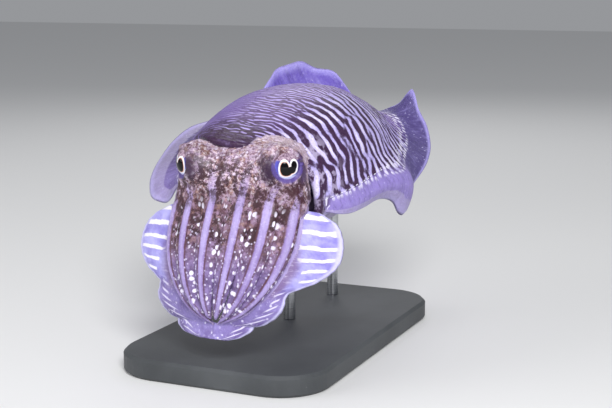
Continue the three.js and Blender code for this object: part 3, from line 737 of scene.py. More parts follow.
# Keels: sheets that hang from the lowest arms, by share of the crown's length and t across
KEEL_SPAN = (-0.02, 1.135)
KEEL_ROWS, KEEL_COLUMNS = 96, 30
KEEL_SLANT, KEEL_CURL = 12, 28
KEEL_ROOT_ANGLE = 98
KEEL_ROOT_RADIUS = 0.8
KEEL_ROOT_SUNK = 3
KEELS_MEET = 1.9
KEELS_MEET_OVER = (0.8, 1.0)
KEEL_ROOT, KEEL_EDGE = 2.6, 0.9
KEEL_ROUND_EDGE = 0.6
KEEL_THINS_BELOW, KEEL_THINNEST = 9, 0.45
KEEL_MARK_ANGLE = 110.0


def keel_part(side, sign):
    shares = np.linspace(*KEEL_SPAN, KEEL_ROWS)
    share, t = np.meshgrid(shares, np.linspace(0, 1, KEEL_COLUMNS), indexing="ij")
    _, _, lateral, dorsal = spine(crown_station(share))
    turn = np.radians(KEEL_SLANT + KEEL_CURL * t * t)[..., None]
    outward = lateral * sign * np.cos(turn) - dorsal * np.sin(turn)
    normal = lateral * sign * np.sin(turn) + dorsal * np.cos(turn)
    root = crown_point(np.maximum(shares, 0), sign * math.radians(KEEL_ROOT_ANGLE), KEEL_ROOT_RADIUS)
    root = root - lateral[:, 0] * (sign * KEELS_MEET * ease(shares, *KEELS_MEET_OVER))[:, None]
    width = through(KEEL_WIDTHS[side], share) + KEEL_ROOT_SUNK
    step = width[..., None] / (KEEL_COLUMNS - 1) * outward
    middle = root[:, None] + np.cumsum(step, 1) - step[:, :1]
    thin = np.clip(crown_half(share, CROWN_DEPTH) / KEEL_THINS_BELOW, KEEL_THINNEST, 1)
    half = (lerp(KEEL_ROOT, KEEL_EDGE, t) / 2 * thin)[..., None]
    rings = sheet_rings(middle, normal, outward, half, KEEL_ROUND_EDGE)
    across, along = out_and_back(t), out_and_back(share)
    one = np.ones_like(across)
    marks = {
        "keel": np.stack([across, along, sign * one], -1),
        "crown": np.stack([sign * KEEL_MARK_ANGLE * one, crown_station(along), one], -1),
        "kind": np.broadcast_to(ON_KEEL, rings.shape),
    }
    return loft(rings, rings[0].mean(0), rings[-1].mean(0)), marks


# The funnel: a bent tube under the neck, placed as the mantle is, with its half widths and heights
FUNNEL_LINE = ((0.0, 18.0, -8.0), (2.0, -6.0, -8.0), (2.0, -18.0, -40.0))
FUNNEL_WIDTHS = (13, 5)
FUNNEL_HEIGHTS = (5, 4.25)
FUNNEL_TAPER = 1.3
FUNNEL_WALL, FUNNEL_LIP = 1.2, 0.5
FUNNEL_ROWS, FUNNEL_COLUMNS, FUNNEL_INNER_ROWS = 40, 40, 8


def funnel_part():
    start, bend, mouth = (in_mantle(np.array(place)) for place in FUNNEL_LINE)
    t = np.linspace(0, 1, FUNNEL_ROWS)
    line = ((1 - t) ** 2)[:, None] * start + (2 * t * (1 - t))[:, None] * bend + (t**2)[:, None] * mouth
    forward = unit(np.gradient(line, axis=0))
    lateral = np.array([1.0, 0, 0])
    dorsal = unit(np.cross(forward, lateral))
    angle = np.linspace(0, 2 * np.pi, FUNNEL_COLUMNS, endpoint=False)

    def ring(i, inset):
        wide = lerp(*FUNNEL_WIDTHS, t[i] ** FUNNEL_TAPER) - inset
        high = lerp(*FUNNEL_HEIGHTS, t[i] ** FUNNEL_TAPER) - inset
        return line[i] + np.outer(wide * np.cos(angle), lateral) + np.outer(high * np.sin(angle), dorsal[i])

    outer = [ring(i, 0) for i in range(FUNNEL_ROWS)]
    lip = ring(FUNNEL_ROWS - 1, FUNNEL_WALL / 2) + forward[-1] * FUNNEL_LIP
    inner = [ring(i, FUNNEL_WALL) for i in range(FUNNEL_ROWS - FUNNEL_INNER_ROWS, FUNNEL_ROWS)]
    rings = np.array([*outer, lip, *inner[::-1]])
    return loft(rings, rings[0].mean(0), rings[-1].mean(0)), {}


# Objects and their marks
MARKS = {"body": 3, "crown": 3, "keel": 3, "arms": 3, "kind": 3, "within": 1, "under": 1}


def add_object(name, data):
    made = bpy.data.objects.new(name, data)
    bpy.context.scene.collection.objects.link(made)
    return made


def mesh_object(name, vertices, faces):
    mesh = bpy.data.meshes.new(name)
    mesh.from_pydata((np.asarray(vertices) * MM).tolist(), [], faces)
    mesh.update()
    return add_object(name, mesh)


def of_vertices(mesh, name):
    """Each vertex's place or normal."""
    rows = np.empty(len(mesh.vertices) * 3)
    mesh.vertices.foreach_get(name, rows)
    return rows.reshape(-1, 3)


def closed_object(name, vertices, faces):
    """An object whose faces point outwards."""
    made = mesh_object(name, vertices, faces)
    made.data.calc_loop_triangles()
    corners = np.empty(len(made.data.loop_triangles) * 3, int)
    made.data.loop_triangles.foreach_get("vertices", corners)
    a, b, c = of_vertices(made.data, "co")[corners.reshape(-1, 3)].transpose(1, 0, 2)
    if np.sum(a * np.cross(b, c)) < 0:
        made.data.flip_normals()
    return made


def evaluated_mesh(made):
    """The plain mesh that an object's modifiers give."""
    graph = bpy.context.evaluated_depsgraph_get()
    return bpy.data.meshes.new_from_object(made.evaluated_get(graph))


def set_mark(mesh, name, rows):
    """Keeps one number or three for each vertex."""
    wide = rows.size == 3 * len(mesh.vertices)
    kind, field = ("FLOAT_VECTOR", "vector") if wide else ("FLOAT", "value")
    mesh.attributes.new(name, kind, "POINT").data.foreach_set(field, rows.ravel())


# One skin from all the parts
GRAIN_PITCH, GRAIN_SHIFT = 1.9, 3
PAPILLA_PITCH, PAPILLA_SHIFT = 4.2, 11
PAPILLA_THRESHOLD, PAPILLA_HEIGHT, HEAD_GRAIN = 0.08, 1.1, 0.22
PAPILLAE_END = (30, 46)
CALM_UNTIL = 10
LID_FOLD_PITCH, LID_FOLD_HEIGHT = 1.3, 0.2
LID_FOLDS_AT, LID_FOLDS_SPREAD = 9.3, 1.5
ARM_GRAIN, ARM_GRAIN_FROM = 0.12, (38, 50)
MANTLE_SWELL, MANTLE_GRAIN, MANTLE_GRAIN_END = 0.2, 0.1, (0.05, 0.3)
KEEL_RIB_PITCH, KEEL_RIB_HEIGHT, KEEL_RIBS_FROM = 0.064, 0.1, (0.2, 0.6)


def folds(points, values):
    """How far the skin stands out, in millimetres, for papillae, lids and fine folds."""

    def rough(pitch, shift):
        places = (Vector((x / pitch + shift, y / pitch, z / pitch)) for x, y, z in points)
        return np.array([noise.noise(place) for place in places])

    on_mantle, on_head, on_keel = values["kind"].T
    station, fin = values["crown"][:, 1], values["body"][:, 2]
    across, share = values["keel"][:, 0], values["keel"][:, 1]
    aside, upward, front = values["eyes"].T
    reach = np.hypot(aside, upward)
    calm = ease(np.hypot(reach, front), EYE_RADIUS, CALM_UNTIL)
    grain, swell = rough(GRAIN_PITCH, GRAIN_SHIFT), rough(PAPILLA_PITCH, PAPILLA_SHIFT)
    papillae = np.maximum(swell - PAPILLA_THRESHOLD, 0) * PAPILLA_HEIGHT + grain * HEAD_GRAIN
    lid_folds = np.sin(2 * np.pi * reach / LID_FOLD_PITCH)
    lid_folds = lid_folds * np.exp(-(((reach - LID_FOLDS_AT) / LID_FOLDS_SPREAD) ** 2)) * (front > 0)
    ribs = np.sin(2 * np.pi * share / KEEL_RIB_PITCH)
    off_fin = 1 - ease(fin, *MANTLE_GRAIN_END)
    height = on_head * (1 - ease(station, *PAPILLAE_END)) * calm * papillae
    height += on_head * lid_folds * LID_FOLD_HEIGHT
    height += on_head * ease(station, *ARM_GRAIN_FROM) * grain * ARM_GRAIN
    height += on_mantle * off_fin * (swell * MANTLE_SWELL + grain * MANTLE_GRAIN)
    height += on_keel * ribs * ease(across, *KEEL_RIBS_FROM) * KEEL_RIB_HEIGHT
    return height


def joined(objects):
    """The union of closed objects as one mesh; the objects themselves go."""
    whole, *rest = objects
    others = bpy.data.collections.new("skin_parts")
    for made in rest:
        others.objects.link(made)
    joining = whole.modifiers.new("join", "BOOLEAN")
    joining.operation = "UNION"
    joining.solver = "MANIFOLD"
    joining.operand_type = "COLLECTION"
    joining.collection = others
    mesh = evaluated_mesh(whole)
    for made in objects:
        bpy.data.objects.remove(made)
    bpy.data.collections.remove(others)
    return mesh


def parts_marks(parts, name, width):
    """One mark over all parts' vertices, 0 where a part has none; an end takes its neighbour's."""
    whole = []
    for (vertices, _), marks in parts:
        rows = np.zeros((len(vertices), width))
        if name in marks:
            rows[1:-1] = np.asarray(marks[name], float).reshape(-1, width)
            rows[0], rows[-1] = rows[1], rows[-2]
        whole.append(rows)
    return np.concatenate(whole)


def build_skin():
    parts = [mantle_part(), head_part(), funnel_part()]
    for side, sign in SIDES:
        parts += [arm_part(arm, sign) for arm in ARMS]
        parts.append(keel_part(side, sign))
    mesh = joined([closed_object(f"part_{i}", *shape) for i, (shape, _) in enumerate(parts)])

    # Each vertex of the joined skin takes the marks of the nearest vertex of the parts
    places = np.concatenate([vertices for (vertices, _), _ in parts])
    tree = KDTree(len(places))
    for i, place in enumerate(places.tolist()):
        tree.insert(place, i)
    tree.balance()
    points = of_vertices(mesh, "co") / MM
    nearest = np.array([tree.find(point)[1] for point in points.tolist()])
    values = {name: parts_marks(parts, name, width)[nearest] for name, width in MARKS.items()}
    values["eyes"] = eye_marks(points)
    for name, rows in values.items():
        set_mark(mesh, name, rows)

    points = points + of_vertices(mesh, "normal") * folds(points, values)[:, None]
    mesh.vertices.foreach_set("co", (points * MM).ravel())
    mesh.update()
    mesh.shade_smooth()
    return add_object("skin", mesh)


skin = build_skin()
FLESH = [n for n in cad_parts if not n.startswith(("eye", "stand"))]
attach(skin, "root")
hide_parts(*FLESH)


# Materials

# Sockets that go by their place, because others on the same node have the same names
MIX_SHARE, MIX_A, MIX_B, MIX_COLOUR = 0, 6, 7, 2
BAND_TURN = 4


def ink(red, green, blue):
    """A linear colour from bytes."""
    c = np.array([red, green, blue]) / 255
    return (*np.where(c <= 0.04045, c / 12.92, ((c + 0.055) / 1.055) ** 2.4).tolist(), 1)


class Field:
    """A number or colour that varies over a surface, with the usual arithmetic for numbers."""

    def __init__(self, shade, socket):
        self.shade, self.socket = shade, socket

    def __add__(self, other):
        return self.shade.math("ADD", self, other)

    def __sub__(self, other):
        return self.shade.math("SUBTRACT", self, other)

    def __rsub__(self, other):
        return self.shade.math("SUBTRACT", other, self)

    def __mul__(self, other):
        return self.shade.math("MULTIPLY", self, other)

    def __truediv__(self, other):
        return self.shade.math("DIVIDE", self, other)

    def __abs__(self):
        return self.shade.math("ABSOLUTE", self)

    __radd__ = __add__

    def most(self, other):
        return self.shade.math("MAXIMUM", self, other)

    def least(self, other):
        return self.shade.math("MINIMUM", self, other)

    def step(self, start, end):
        """0 at start, 1 at end, smooth between them; falls if start is the larger."""
        if start > end:
            return 1 - self.step(end, start)
        smooth = {"interpolation_type": "SMOOTHSTEP"}
        return self.shade.made("ShaderNodeMapRange", smooth, 0, self, start, end)

    def band(self, centre, half, soft):
        """1 within half of centre."""
        return abs(self - centre).step(half + soft, half)

    def from_whole(self):
        """How far it is from the nearest whole number."""
        return abs(self - self.shade.math("ROUND", self))


class Shading:
    """A material put together from fields."""

    def __init__(self, name):
        self.material = bpy.data.materials.new(name)
        self.material.use_nodes = True
        self.tree = self.material.node_tree
        self.surface = self.tree.nodes["Principled BSDF"]

    def put(self, socket, value):
        if isinstance(value, Field):
            self.tree.links.new(value.socket, socket)
        else:
            socket.default_value = value

    def made(self, kind, settings, output, *values, **named):
        node = self.tree.nodes.new(kind)
        for key, value in settings.items():
            setattr(node, key, value)
        for socket, value in zip(node.inputs, values):
            self.put(socket, value)
        for key, value in named.items():
            self.put(node.inputs[key], value)
        return Field(self, node.outputs[output])

    def math(self, operation, *values):
        return self.made("ShaderNodeMath", {"operation": operation}, 0, *values)

    def mark(self, name):
        return self.made("ShaderNodeAttribute", {"attribute_name": name}, "Fac")

    def marks(self, name):
        """The three numbers of a mark."""
        vector = self.made("ShaderNodeAttribute", {"attribute_name": name}, "Vector")
        node = self.tree.nodes.new("ShaderNodeSeparateXYZ")
        self.put(node.inputs[0], vector)
        return [Field(self, output) for output in node.outputs]

    def place(self):
        """Where a point is on the piece, in millimetres."""
        point = self.made("ShaderNodeTexCoord", {}, "Object")
        return self.made("ShaderNodeVectorMath", {"operation": "SCALE"}, 0, point, Scale=1 / MM)

    def vector(self, x, y, z=0.0):
        return self.made("ShaderNodeCombineXYZ", {}, 0, x, y, z)

    def noise(self, at, pitch, detail=2.0, roughness=0.5):
        sizes = {"Scale": 1 / pitch, "Detail": detail, "Roughness": roughness}
        return self.made("ShaderNodeTexNoise", {}, 0, Vector=at, **sizes)

    def cells(self, at, pitch, randomness=1.0, flat=False):
        """Distance in millimetres from the nearest of scattered points."""
        kind = {"voronoi_dimensions": "2D" if flat else "3D"}
        sizes = {"Scale": 1 / pitch, "Randomness": randomness}
        return self.made("ShaderNodeTexVoronoi", kind, "Distance", Vector=at, **sizes) * pitch

    def bands(self, at, pitch, straight):
        """Uneven bands that follow each other along the second coordinate."""
        node = self.tree.nodes.new("ShaderNodeTexGabor")
        node.gabor_type = "2D"
        self.put(node.inputs["Vector"], at)
        self.put(node.inputs["Scale"], 0.5 / pitch)
        self.put(node.inputs["Frequency"], 2.0)
        self.put(node.inputs["Anisotropy"], straight)
        node.inputs[BAND_TURN].default_value = math.pi / 2
        return Field(self, node.outputs["Value"])

    def length(self, x, y):
        return self.math("SQRT", x * x + y * y)

    def oval(self, x, y, centre, size):
        """Distance from a centre, 1 on an oval of that size."""
        return self.length((x - centre[0]) / size[0], (y - centre[1]) / size[1])

    def mix(self, share, a, b):
        node = self.tree.nodes.new("ShaderNodeMix")
        node.data_type = "RGBA"
        self.put(node.inputs[MIX_SHARE], share)
        self.put(node.inputs[MIX_A], a)
        self.put(node.inputs[MIX_B], b)
        return Field(self, node.outputs[MIX_COLOUR])

    def coats(self, colour, *coats):
        """A colour with others laid over it one by one, each by its share."""
        for share, over in coats:
            colour = self.mix(share, colour, over)
        return colour

    def finish(self, colour, roughness, height, **constants):
        """Sets the surface; height is in millimetres."""
        self.put(self.surface.inputs["Base Color"], colour)
        self.put(self.surface.inputs["Roughness"], roughness)
        bump = self.made("ShaderNodeBump", {}, 0, Height=height, Distance=MM, Strength=1.0)
        self.put(self.surface.inputs["Normal"], bump)
        for key, value in constants.items():
            self.surface.inputs[key.replace("_", " ")].default_value = value
        return self.material


def dress(piece, material):
    piece.data.materials.clear()
    piece.data.materials.append(material)


# The mantle's pitches, in millimetres along the skin
STRIPE_PITCH, STRIPE_STRAIGHT = 6.6, 0.86
FINE_PITCH, FINE_STRAIGHT = 3.1, 0.8
STRIPE_DRIFT = 9
FIN_DOT_PITCH, ROOT_DOT_PITCH = 2.3, 3.6


def back_looks(shade, place, lateral, along, slow, grain):
    """Stripes of the back, plain on its far side, and the relief of the pale ones."""
    drift = (shade.noise(place, 16) - 0.5) * STRIPE_DRIFT
    at = shade.vector(lateral, along + drift)
    bold = shade.bands(at, STRIPE_PITCH, STRIPE_STRAIGHT)
    fine = shade.bands(at, FINE_PITCH, FINE_STRAIGHT)
    fineness = lateral.step(24, 8).most(along.step(112, 138))
    bands = bold + (fine - bold) * fineness + (shade.noise(place, 1.6) - 0.5) * 0.12
    limit = (slow - 0.5) * 0.12 + along.step(60, 15) * 0.045 + 0.5
    pale = (bands - limit).step(-0.045, 0.045)

    plain = shade.coats(
        shade.mix(slow.step(0.3, 0.7), ink(104, 80, 150), ink(134, 110, 186)),
        (grain.step(0.45, 0.75) * 0.5, ink(178, 158, 222)),
        (fine.step(0.5, 0.62) * 0.22, ink(70, 44, 104)),
    )
    dark = shade.mix(grain, ink(44, 20, 48), ink(74, 42, 84))
    light = shade.mix(bands.step(0.56, 0.75), ink(196, 184, 244), ink(236, 228, 255))
    light = shade.mix(grain.step(0.5, 0.36) * 0.5, light, ink(158, 138, 206))
    soft = shade.mix(pale, ink(88, 54, 116), ink(166, 142, 218))
    striped = shade.mix(fineness * 0.75, shade.mix(pale, dark, light), soft)
    share = lateral.step(-28, 4).most(lateral.step(-44, -58) * 0.7)

    # Painted shade on the lobe where it hangs over the head, blotchy and broken by the fine pale stripes;
    # pale blotches at the collar
    blotch = shade.noise(place, 5, 4, 0.6)
    marking_and_shade_patch = along.step(10, -8) * lateral.band(-10, 18, 16)
    marking_and_shade_patch = marking_and_shade_patch * (blotch.step(0.25, 0.55) * 0.4 + 0.6) * fine.step(0.62, 0.54).most(along.step(-9, -16))
    collar = along.step(26, 8) * lateral.step(22, 36) * lateral.step(75, 60)
    colour = shade.coats(
        shade.mix(share, plain, striped),
        # painted shade of the lobe over the head
        (marking_and_shade_patch, ink(56, 26, 62)),
        (collar * blotch.step(0.48, 0.6) * 0.6, ink(214, 200, 240)),
    )
    return colour, pale * share


def fin_looks(shade, place, lateral, along, fin, slow):
    """Thin violet fins with fine rays, pale dots and a pale rim; the far fin carries painted shade, darkest
    through its middle.
    """
    near = shade.mix(along.step(66, 104), ink(158, 140, 214), ink(92, 80, 138))
    # The far fin is painted darker than the near one, darkest through its middle: painted shade over its
    # violet
    far = shade.mix(along.step(18, 44), ink(131, 113, 178), ink(90, 76, 120))
    far = shade.mix(along.step(84, 112), far, ink(122, 104, 196))
    rays = shade.noise(shade.vector(along, fin * 5), 1.7, 3, 0.6)
    dots = shade.cells(place, FIN_DOT_PITCH).step(0.55, 0.3) * shade.noise(place, 6).step(0.4, 0.6)
    return shade.coats(
        shade.mix(lateral.step(-1, 1), far, near),
        (slow.step(0.35, 0.75) * 0.35, ink(60, 48, 104)),
        (rays.step(0.5, 0.7) * 0.3, ink(170, 160, 226)),
        (rays.step(0.5, 0.32) * 0.3, ink(56, 44, 96)),
        (dots * 0.55, ink(205, 198, 245)),
        (fin.step(0.86, 0.97) * 0.75, ink(176, 166, 236)),
    )


def mantle_looks(shade, place):
    """Colour of the back, fins and belly, painted shade in the pocket, and the relief of the stripes."""
    lateral, along, fin = shade.marks("body")
    under, within = shade.mark("under"), shade.mark("within")
    slow, grain = shade.noise(place, 22, 3), shade.noise(place, 1.1, 3, 0.7)
    colour, relief = back_looks(shade, place, lateral, along, slow, grain)
    root_dots = shade.cells(shade.vector(along, fin * 30), ROOT_DOT_PITCH, 0.5, True).step(1.3, 0.9)
    root_dots = root_dots * fin.step(0.03, 0.08) * fin.step(0.32, 0.24) * under.step(0.3, 0.05)
    colour = shade.coats(
        colour,
        (fin.step(0.1, 0.34), fin_looks(shade, place, lateral, along, fin, slow)),
        (root_dots * 0.9, ink(236, 230, 255)),
        (under * 0.8, shade.mix(grain, ink(160, 146, 196), ink(214, 206, 232))),
        # Painted shade on the pocket's wall, darker deeper within it
        (within.step(0.1, 0.6) * 0.8, ink(70, 52, 84)),
    )
    return colour, relief


# The head's and the arms' pitches in millimetres, and half the width of an arm's pale lane
SPECK_PITCH, SPOT_PITCH, SMALL_SPOT_PITCH = 2.9, 2.9, 2.0
LANE_HALF, LANE_NARROWS = 1.75, 0.95


def brow_looks(shade, place, station, grain, mottle):
    """The top of the head: brown mottling, paler behind the eyes, with scattered specks."""
    crown = station.step(13, 4) * (0.35 + mottle)
    specks = shade.cells(place, SPECK_PITCH).step(0.85, 0.45) * shade.noise(place, 9).step(0.42, 0.55)
    return shade.coats(
        shade.mix(mottle.step(0.38, 0.6), ink(118, 82, 88), ink(186, 160, 190)),
        (shade.noise(place, 2.4, 3).step(0.5, 0.62) * 0.6, ink(178, 138, 124)),
        (grain.step(0.5, 0.62) * 0.85, ink(232, 216, 228)),
        (grain.step(0.46, 0.36) * 0.85, ink(66, 34, 46)),
        (crown * 0.55, ink(206, 184, 204)),
        (specks * 0.8, ink(234, 222, 244)),
    )


def arm_ground(shade, place, station, grain, mottle, slow):
    """Ground of the arms, brown above and violet below."""
    upper = shade.mix(mottle.step(0.38, 0.66), ink(90, 57, 66), ink(156, 126, 154))
    upper = shade.mix(shade.noise(place, 2.4, 3).step(0.52, 0.64) * 0.5, upper, ink(170, 132, 122))
    lower = shade.mix(mottle.step(0.32, 0.68), ink(94, 74, 118), ink(144, 124, 178))
    lower = shade.mix(grain.step(0.46, 0.34) * 0.45, lower, ink(92, 58, 84))
    return shade.mix((station + (slow - 0.5) * 24).step(36, 68), upper, lower)


def arm_lane(shade, arc, station, within, grain, slow):
    """Colour of the pale lane along each arm's ridge; within is how far a point lies inside it."""
    thread = shade.noise(shade.vector(arc, station * 0.12), 0.8, 3, 0.6)
    return shade.coats(
        shade.mix(slow.step(0.3, 0.7), ink(146, 124, 186), ink(176, 158, 216)),
        (thread.step(0.5, 0.35) * 0.5, ink(120, 96, 156)),
        (within.step(0.1, 1.3) * 0.45, ink(196, 184, 234)),
        (grain.step(0.52, 0.7) * 0.4, ink(222, 210, 246)),
    )


def eye_surrounds(shade, base, station, grain, mottle, ragged):
    """The base colour with the dark patches below and before each eye, painted shade behind it where the lid
    meets the eyeball, and the ring round it.
    """
    aside, upward, front = shade.marks("eyes")
    near = front.step(-3, 1)

    def marking_and_shade_patch(centre, size, soft):
        return shade.oval(aside, upward, centre, size).step(1 + soft, 1 - soft)

    streaks = (grain * 1.4 + mottle * 0.6).step(0.55, 0.95) * 0.5 + 0.5
    ring = shade.length(aside, upward).step(8.2, 7.0) * near
    return shade.coats(
        base,
        (marking_and_shade_patch((0, -13.5), (11, 6.5), 0.35) * near * ragged.step(0.4, 0.54) * 0.9, ink(66, 32, 44)),
        (marking_and_shade_patch((-8.4, -1.2), (2.6, 5.8), 0.6) * near * streaks * 0.95, ink(48, 22, 56)),
        # Painted shade behind the eye, in the fold between lid and eyeball
        (marking_and_shade_patch((9.4, 1.5), (4.4, 9.5), 0.25) * front.step(-11, -7) * 0.9, ink(62, 32, 84)),
        (ring * upward.step(4, 0) * 0.9, ink(84, 66, 142)),
    )


def head_looks(shade, place):
    """Colour of the head and the arms."""
    arc, ridge, middle = shade.marks("arms")
    _, station, outside = shade.marks("crown")
    grain, mottle = shade.noise(place, 1.3, 4, 0.75), shade.noise(place, 4.5, 5, 0.72)
    slow = shade.noise(place, 15, 2)
    brow = brow_looks(shade, place, station, grain, mottle)
    ground = arm_ground(shade, place, station, grain, mottle, slow)

    # Ragged dark blotches near the head, thin dark lines beside the lanes, and white spots between them
    half = LANE_HALF - station.step(40, 84) * LANE_NARROWS
    ragged = shade.noise(place, 6.5, 6, 0.8) + (shade.noise(place, 1.2, 2) - 0.5) * 0.16
    line = (ridge - half).band(0.45, 0.15, 0.35) * station.step(32, 44) * (0.4 + slow)
    small = shade.cells(place, SMALL_SPOT_PITCH).step(0.6, 0.35) * station.step(34, 50)
    spots = shade.cells(shade.vector(arc, station * 0.72), SPOT_PITCH, 0.85, True)
    size = shade.noise(place, 6) * 2.3 - 0.5
    spots = (size - spots).step(-0.2, 0.2) * middle.step(3.2, 2.0) * station.step(26, 38)
    stripe = (half - ridge + (shade.noise(place, 3) - 0.5) * 0.9).step(-0.35, 0.35)
    kept = 1 - ragged.step(0.48, 0.58) * station.step(38, 24)
    lane = arm_lane(shade, arc, station, half - ridge, grain, slow)
    base = shade.coats(
        brow,
        (station.step(22, 34), ground),
        (ragged.step(0.475, 0.54) * station.band(34, 12, 12) * 0.95, ink(54, 25, 36)),
        (line * station.step(98, 62) * 0.9, ink(88, 50, 62)),
        (small * 0.65, ink(220, 212, 244)),
        (spots, ink(240, 234, 255)),
        (stripe * station.step(17, 36) * kept * 0.92, lane),
    )
    inner = outside.step(0.1, -0.4) * station.step(27, 31)
    return shade.coats(
        eye_surrounds(shade, base, station, grain, mottle, ragged),
        (inner, shade.mix(grain, ink(142, 118, 150), ink(190, 170, 194))),
        (shade.mark("under") * 0.75, shade.mix(grain, ink(166, 146, 186), ink(210, 196, 220))),
    )


# The keels' bars and dashes, by share of the crown's length
BAR_PITCH, FIRST_BAR, LAST_BAR = 0.128, 0.06, (0.66, 0.6)
DASH_PITCH = 0.085

# Where the bars start and the dashes lie, by share of the keel's width
BARS_FROM, BARS_SHORTEN, DASHES_AT = 0.14, 1.7, 0.66

# The keels' drops, in millimetres
DROP_PITCH = 2.6


def keel_looks(shade, place):
    """Colour of the broad keels of the lowest arms: white bars above, dashes and drops below."""
    across, share, _ = shade.marks("keel")
    slow, grain = shade.noise(place, 9, 3), shade.noise(place, 1.2, 3, 0.7)
    uneven = shade.noise(place, 4, 2) - 0.5
    lower = (share - 0.3).most(0)
    wave = (slow - 0.5) * 0.07 + across * 0.02 + lower * across * 0.5
    nearest = ((share + wave - FIRST_BAR) / BAR_PITCH).from_whole() + uneven * 0.1
    inner = BARS_FROM + lower * BARS_SHORTEN + uneven * 0.35
    bar = nearest.step(0.19, 0.1) * (across - inner).step(-0.03, 0.05) * across.step(0.93, 0.84)
    upper = shade.coats(
        shade.mix(slow.step(0.3, 0.7), ink(138, 128, 208), ink(184, 180, 240)),
        (bar * share.step(*LAST_BAR), ink(246, 242, 255)),
    )
    dash = ((share + wave) / DASH_PITCH).from_whole().step(0.2, 0.1) * across.band(DASHES_AT, 0.08, 0.08)
    drops = shade.cells(place, DROP_PITCH).step(0.7, 0.45) * shade.noise(place, 5).step(0.42, 0.55)
    low = shade.coats(
        shade.mix(slow.step(0.3, 0.7), ink(118, 100, 162), ink(150, 136, 200)),
        (grain.step(0.55, 0.72) * 0.5, ink(206, 198, 240)),
        (dash * 0.8, ink(236, 230, 255)),
        (drops * 0.75, ink(232, 226, 255)),
    )
    reach = across + (slow - 0.5) * 0.25 - (share - 0.28).most(0) * 0.8
    rooted = reach.step(0.34, 0.1) * share.step(0.8, 0.66)
    ribs = shade.noise(shade.vector(share * 90, across * 6), 2.2, 3, 0.6).step(0.52, 0.66)
    return shade.coats(
        shade.mix(share.step(0.62, 0.72), upper, low),
        (rooted * 0.75, ink(124, 94, 132)),
        (ribs * rooted * 0.7, ink(214, 204, 236)),
        (across.step(0.86, 0.95) * 0.9, ink(214, 210, 255)),
    )


def skin_material():
    shade = Shading("cuttlefish_skin")
    place = shade.place()
    is_mantle, is_head, is_keel = shade.marks("kind")
    grain = shade.noise(place, 1.4, 4, 0.7)
    freckles = shade.cells(place, 1.7).step(0.5, 0.25)
    mantle, relief = mantle_looks(shade, place)
    colour = shade.coats(
        shade.mix(grain, ink(150, 134, 188), ink(206, 196, 230)),
        (freckles * 0.7, ink(104, 70, 112)),
        (is_mantle, mantle),
        (is_head, head_looks(shade, place)),
        (is_keel, keel_looks(shade, place)),
    )
    bumps = grain * 0.22 + shade.cells(place, 1.5) * 0.12 + shade.noise(place, 5, 2) * 0.5
    height = bumps + relief * is_mantle * 0.05
    return shade.finish(colour, grain * 0.25 + 0.38, height, Coat_Weight=0.1, Coat_Roughness=0.2,
                        Specular_IOR_Level=0.35, Subsurface_Weight=0.1, Subsurface_Scale=0.002,
                        Subsurface_Radius=(0.7, 0.55, 0.9))


# The W-shaped pupil as four ovals: their centres and half sizes in millimetres
PUPIL = (
    ((-2.0, -0.9), (1.75, 2.75)), ((2.5, 0.25), (1.5, 1.9)),
    ((-0.9, -2.6), (2.3, 1.6)), ((1.2, -1.7), (2.2, 1.5)),
)


def eye_material():
    """The iris with its W-shaped pupil, seen through a clear glossy cornea."""
    shade = Shading("eye_looks")
    place = shade.place()
    x, y, _ = shade.marks("eyes")
    pupil = None
    for centre, size in PUPIL:
        outside = (shade.oval(x, y, centre, size) - 1) * min(size)
        pupil = pupil.least(outside) if pupil else outside
    reach = shade.length(x, y)
    grain = shade.noise(place, 0.9, 4, 0.75)
    tan = shade.mix(grain.step(0.35, 0.65), ink(104, 76, 100), ink(196, 172, 190))
    rust = pupil.step(0.42, 0.16) * x.step(1.5, -1.0).most(y.step(-2, -3.4)) * 0.85
    iris = shade.coats(
        shade.mix(reach.step(3.5, 6.2), ink(60, 48, 120), ink(104, 104, 208)),
        (y.step(-3.4, -4.6) * reach.step(6.7, 6.0), ink(206, 208, 252)),
        (x.step(3.2, 5.2) * 0.75, ink(72, 40, 98)),
        ((y - abs(x) * 0.1).step(1.6, 2.6), tan),
        (reach.step(6.0, 6.8), ink(44, 28, 74)),
        (pupil.step(0.95, 0.55), ink(250, 248, 255)),
        (rust, ink(206, 122, 74)),
        (pupil.step(0.14, 0.0), ink(6, 4, 9)),
    )
    roughness = 0.12 + pupil.step(0, 0.3) * 0.2
    return shade.finish(iris, roughness, grain * 0.03,
                        Coat_Weight=0.3, Coat_Roughness=0.03, Specular_IOR_Level=0.1)


def sucker_material():
    shade = Shading("sucker_looks")
    grain = shade.noise(shade.place(), 0.7, 3, 0.7)
    colour = shade.mix(grain.step(0.3, 0.7), ink(196, 172, 192), ink(236, 222, 232))
    return shade.finish(colour, 0.35 + grain * 0.15, grain * 0.06, Coat_Weight=0.3, Coat_Roughness=0.15)


def paint_material():
    """Matte powder coat, a little worn and dusty."""
    shade = Shading("powder_coat")
    place = shade.place()
    orange_peel = shade.noise(place, 0.9, 3, 0.6)
    cloud = shade.noise(place, 45, 4, 0.6)
    speck = shade.cells(place, 3.5).step(0.35, 0.15) * shade.noise(place, 20).step(0.5, 0.62)
    colour = shade.mix(cloud.step(0.3, 0.7), ink(60, 63, 66), ink(78, 81, 84))
    colour = shade.mix(speck * 0.35, colour, ink(140, 142, 144))
    return shade.finish(colour, 0.46 + cloud * 0.2 + speck * 0.1, orange_peel * 0.09)


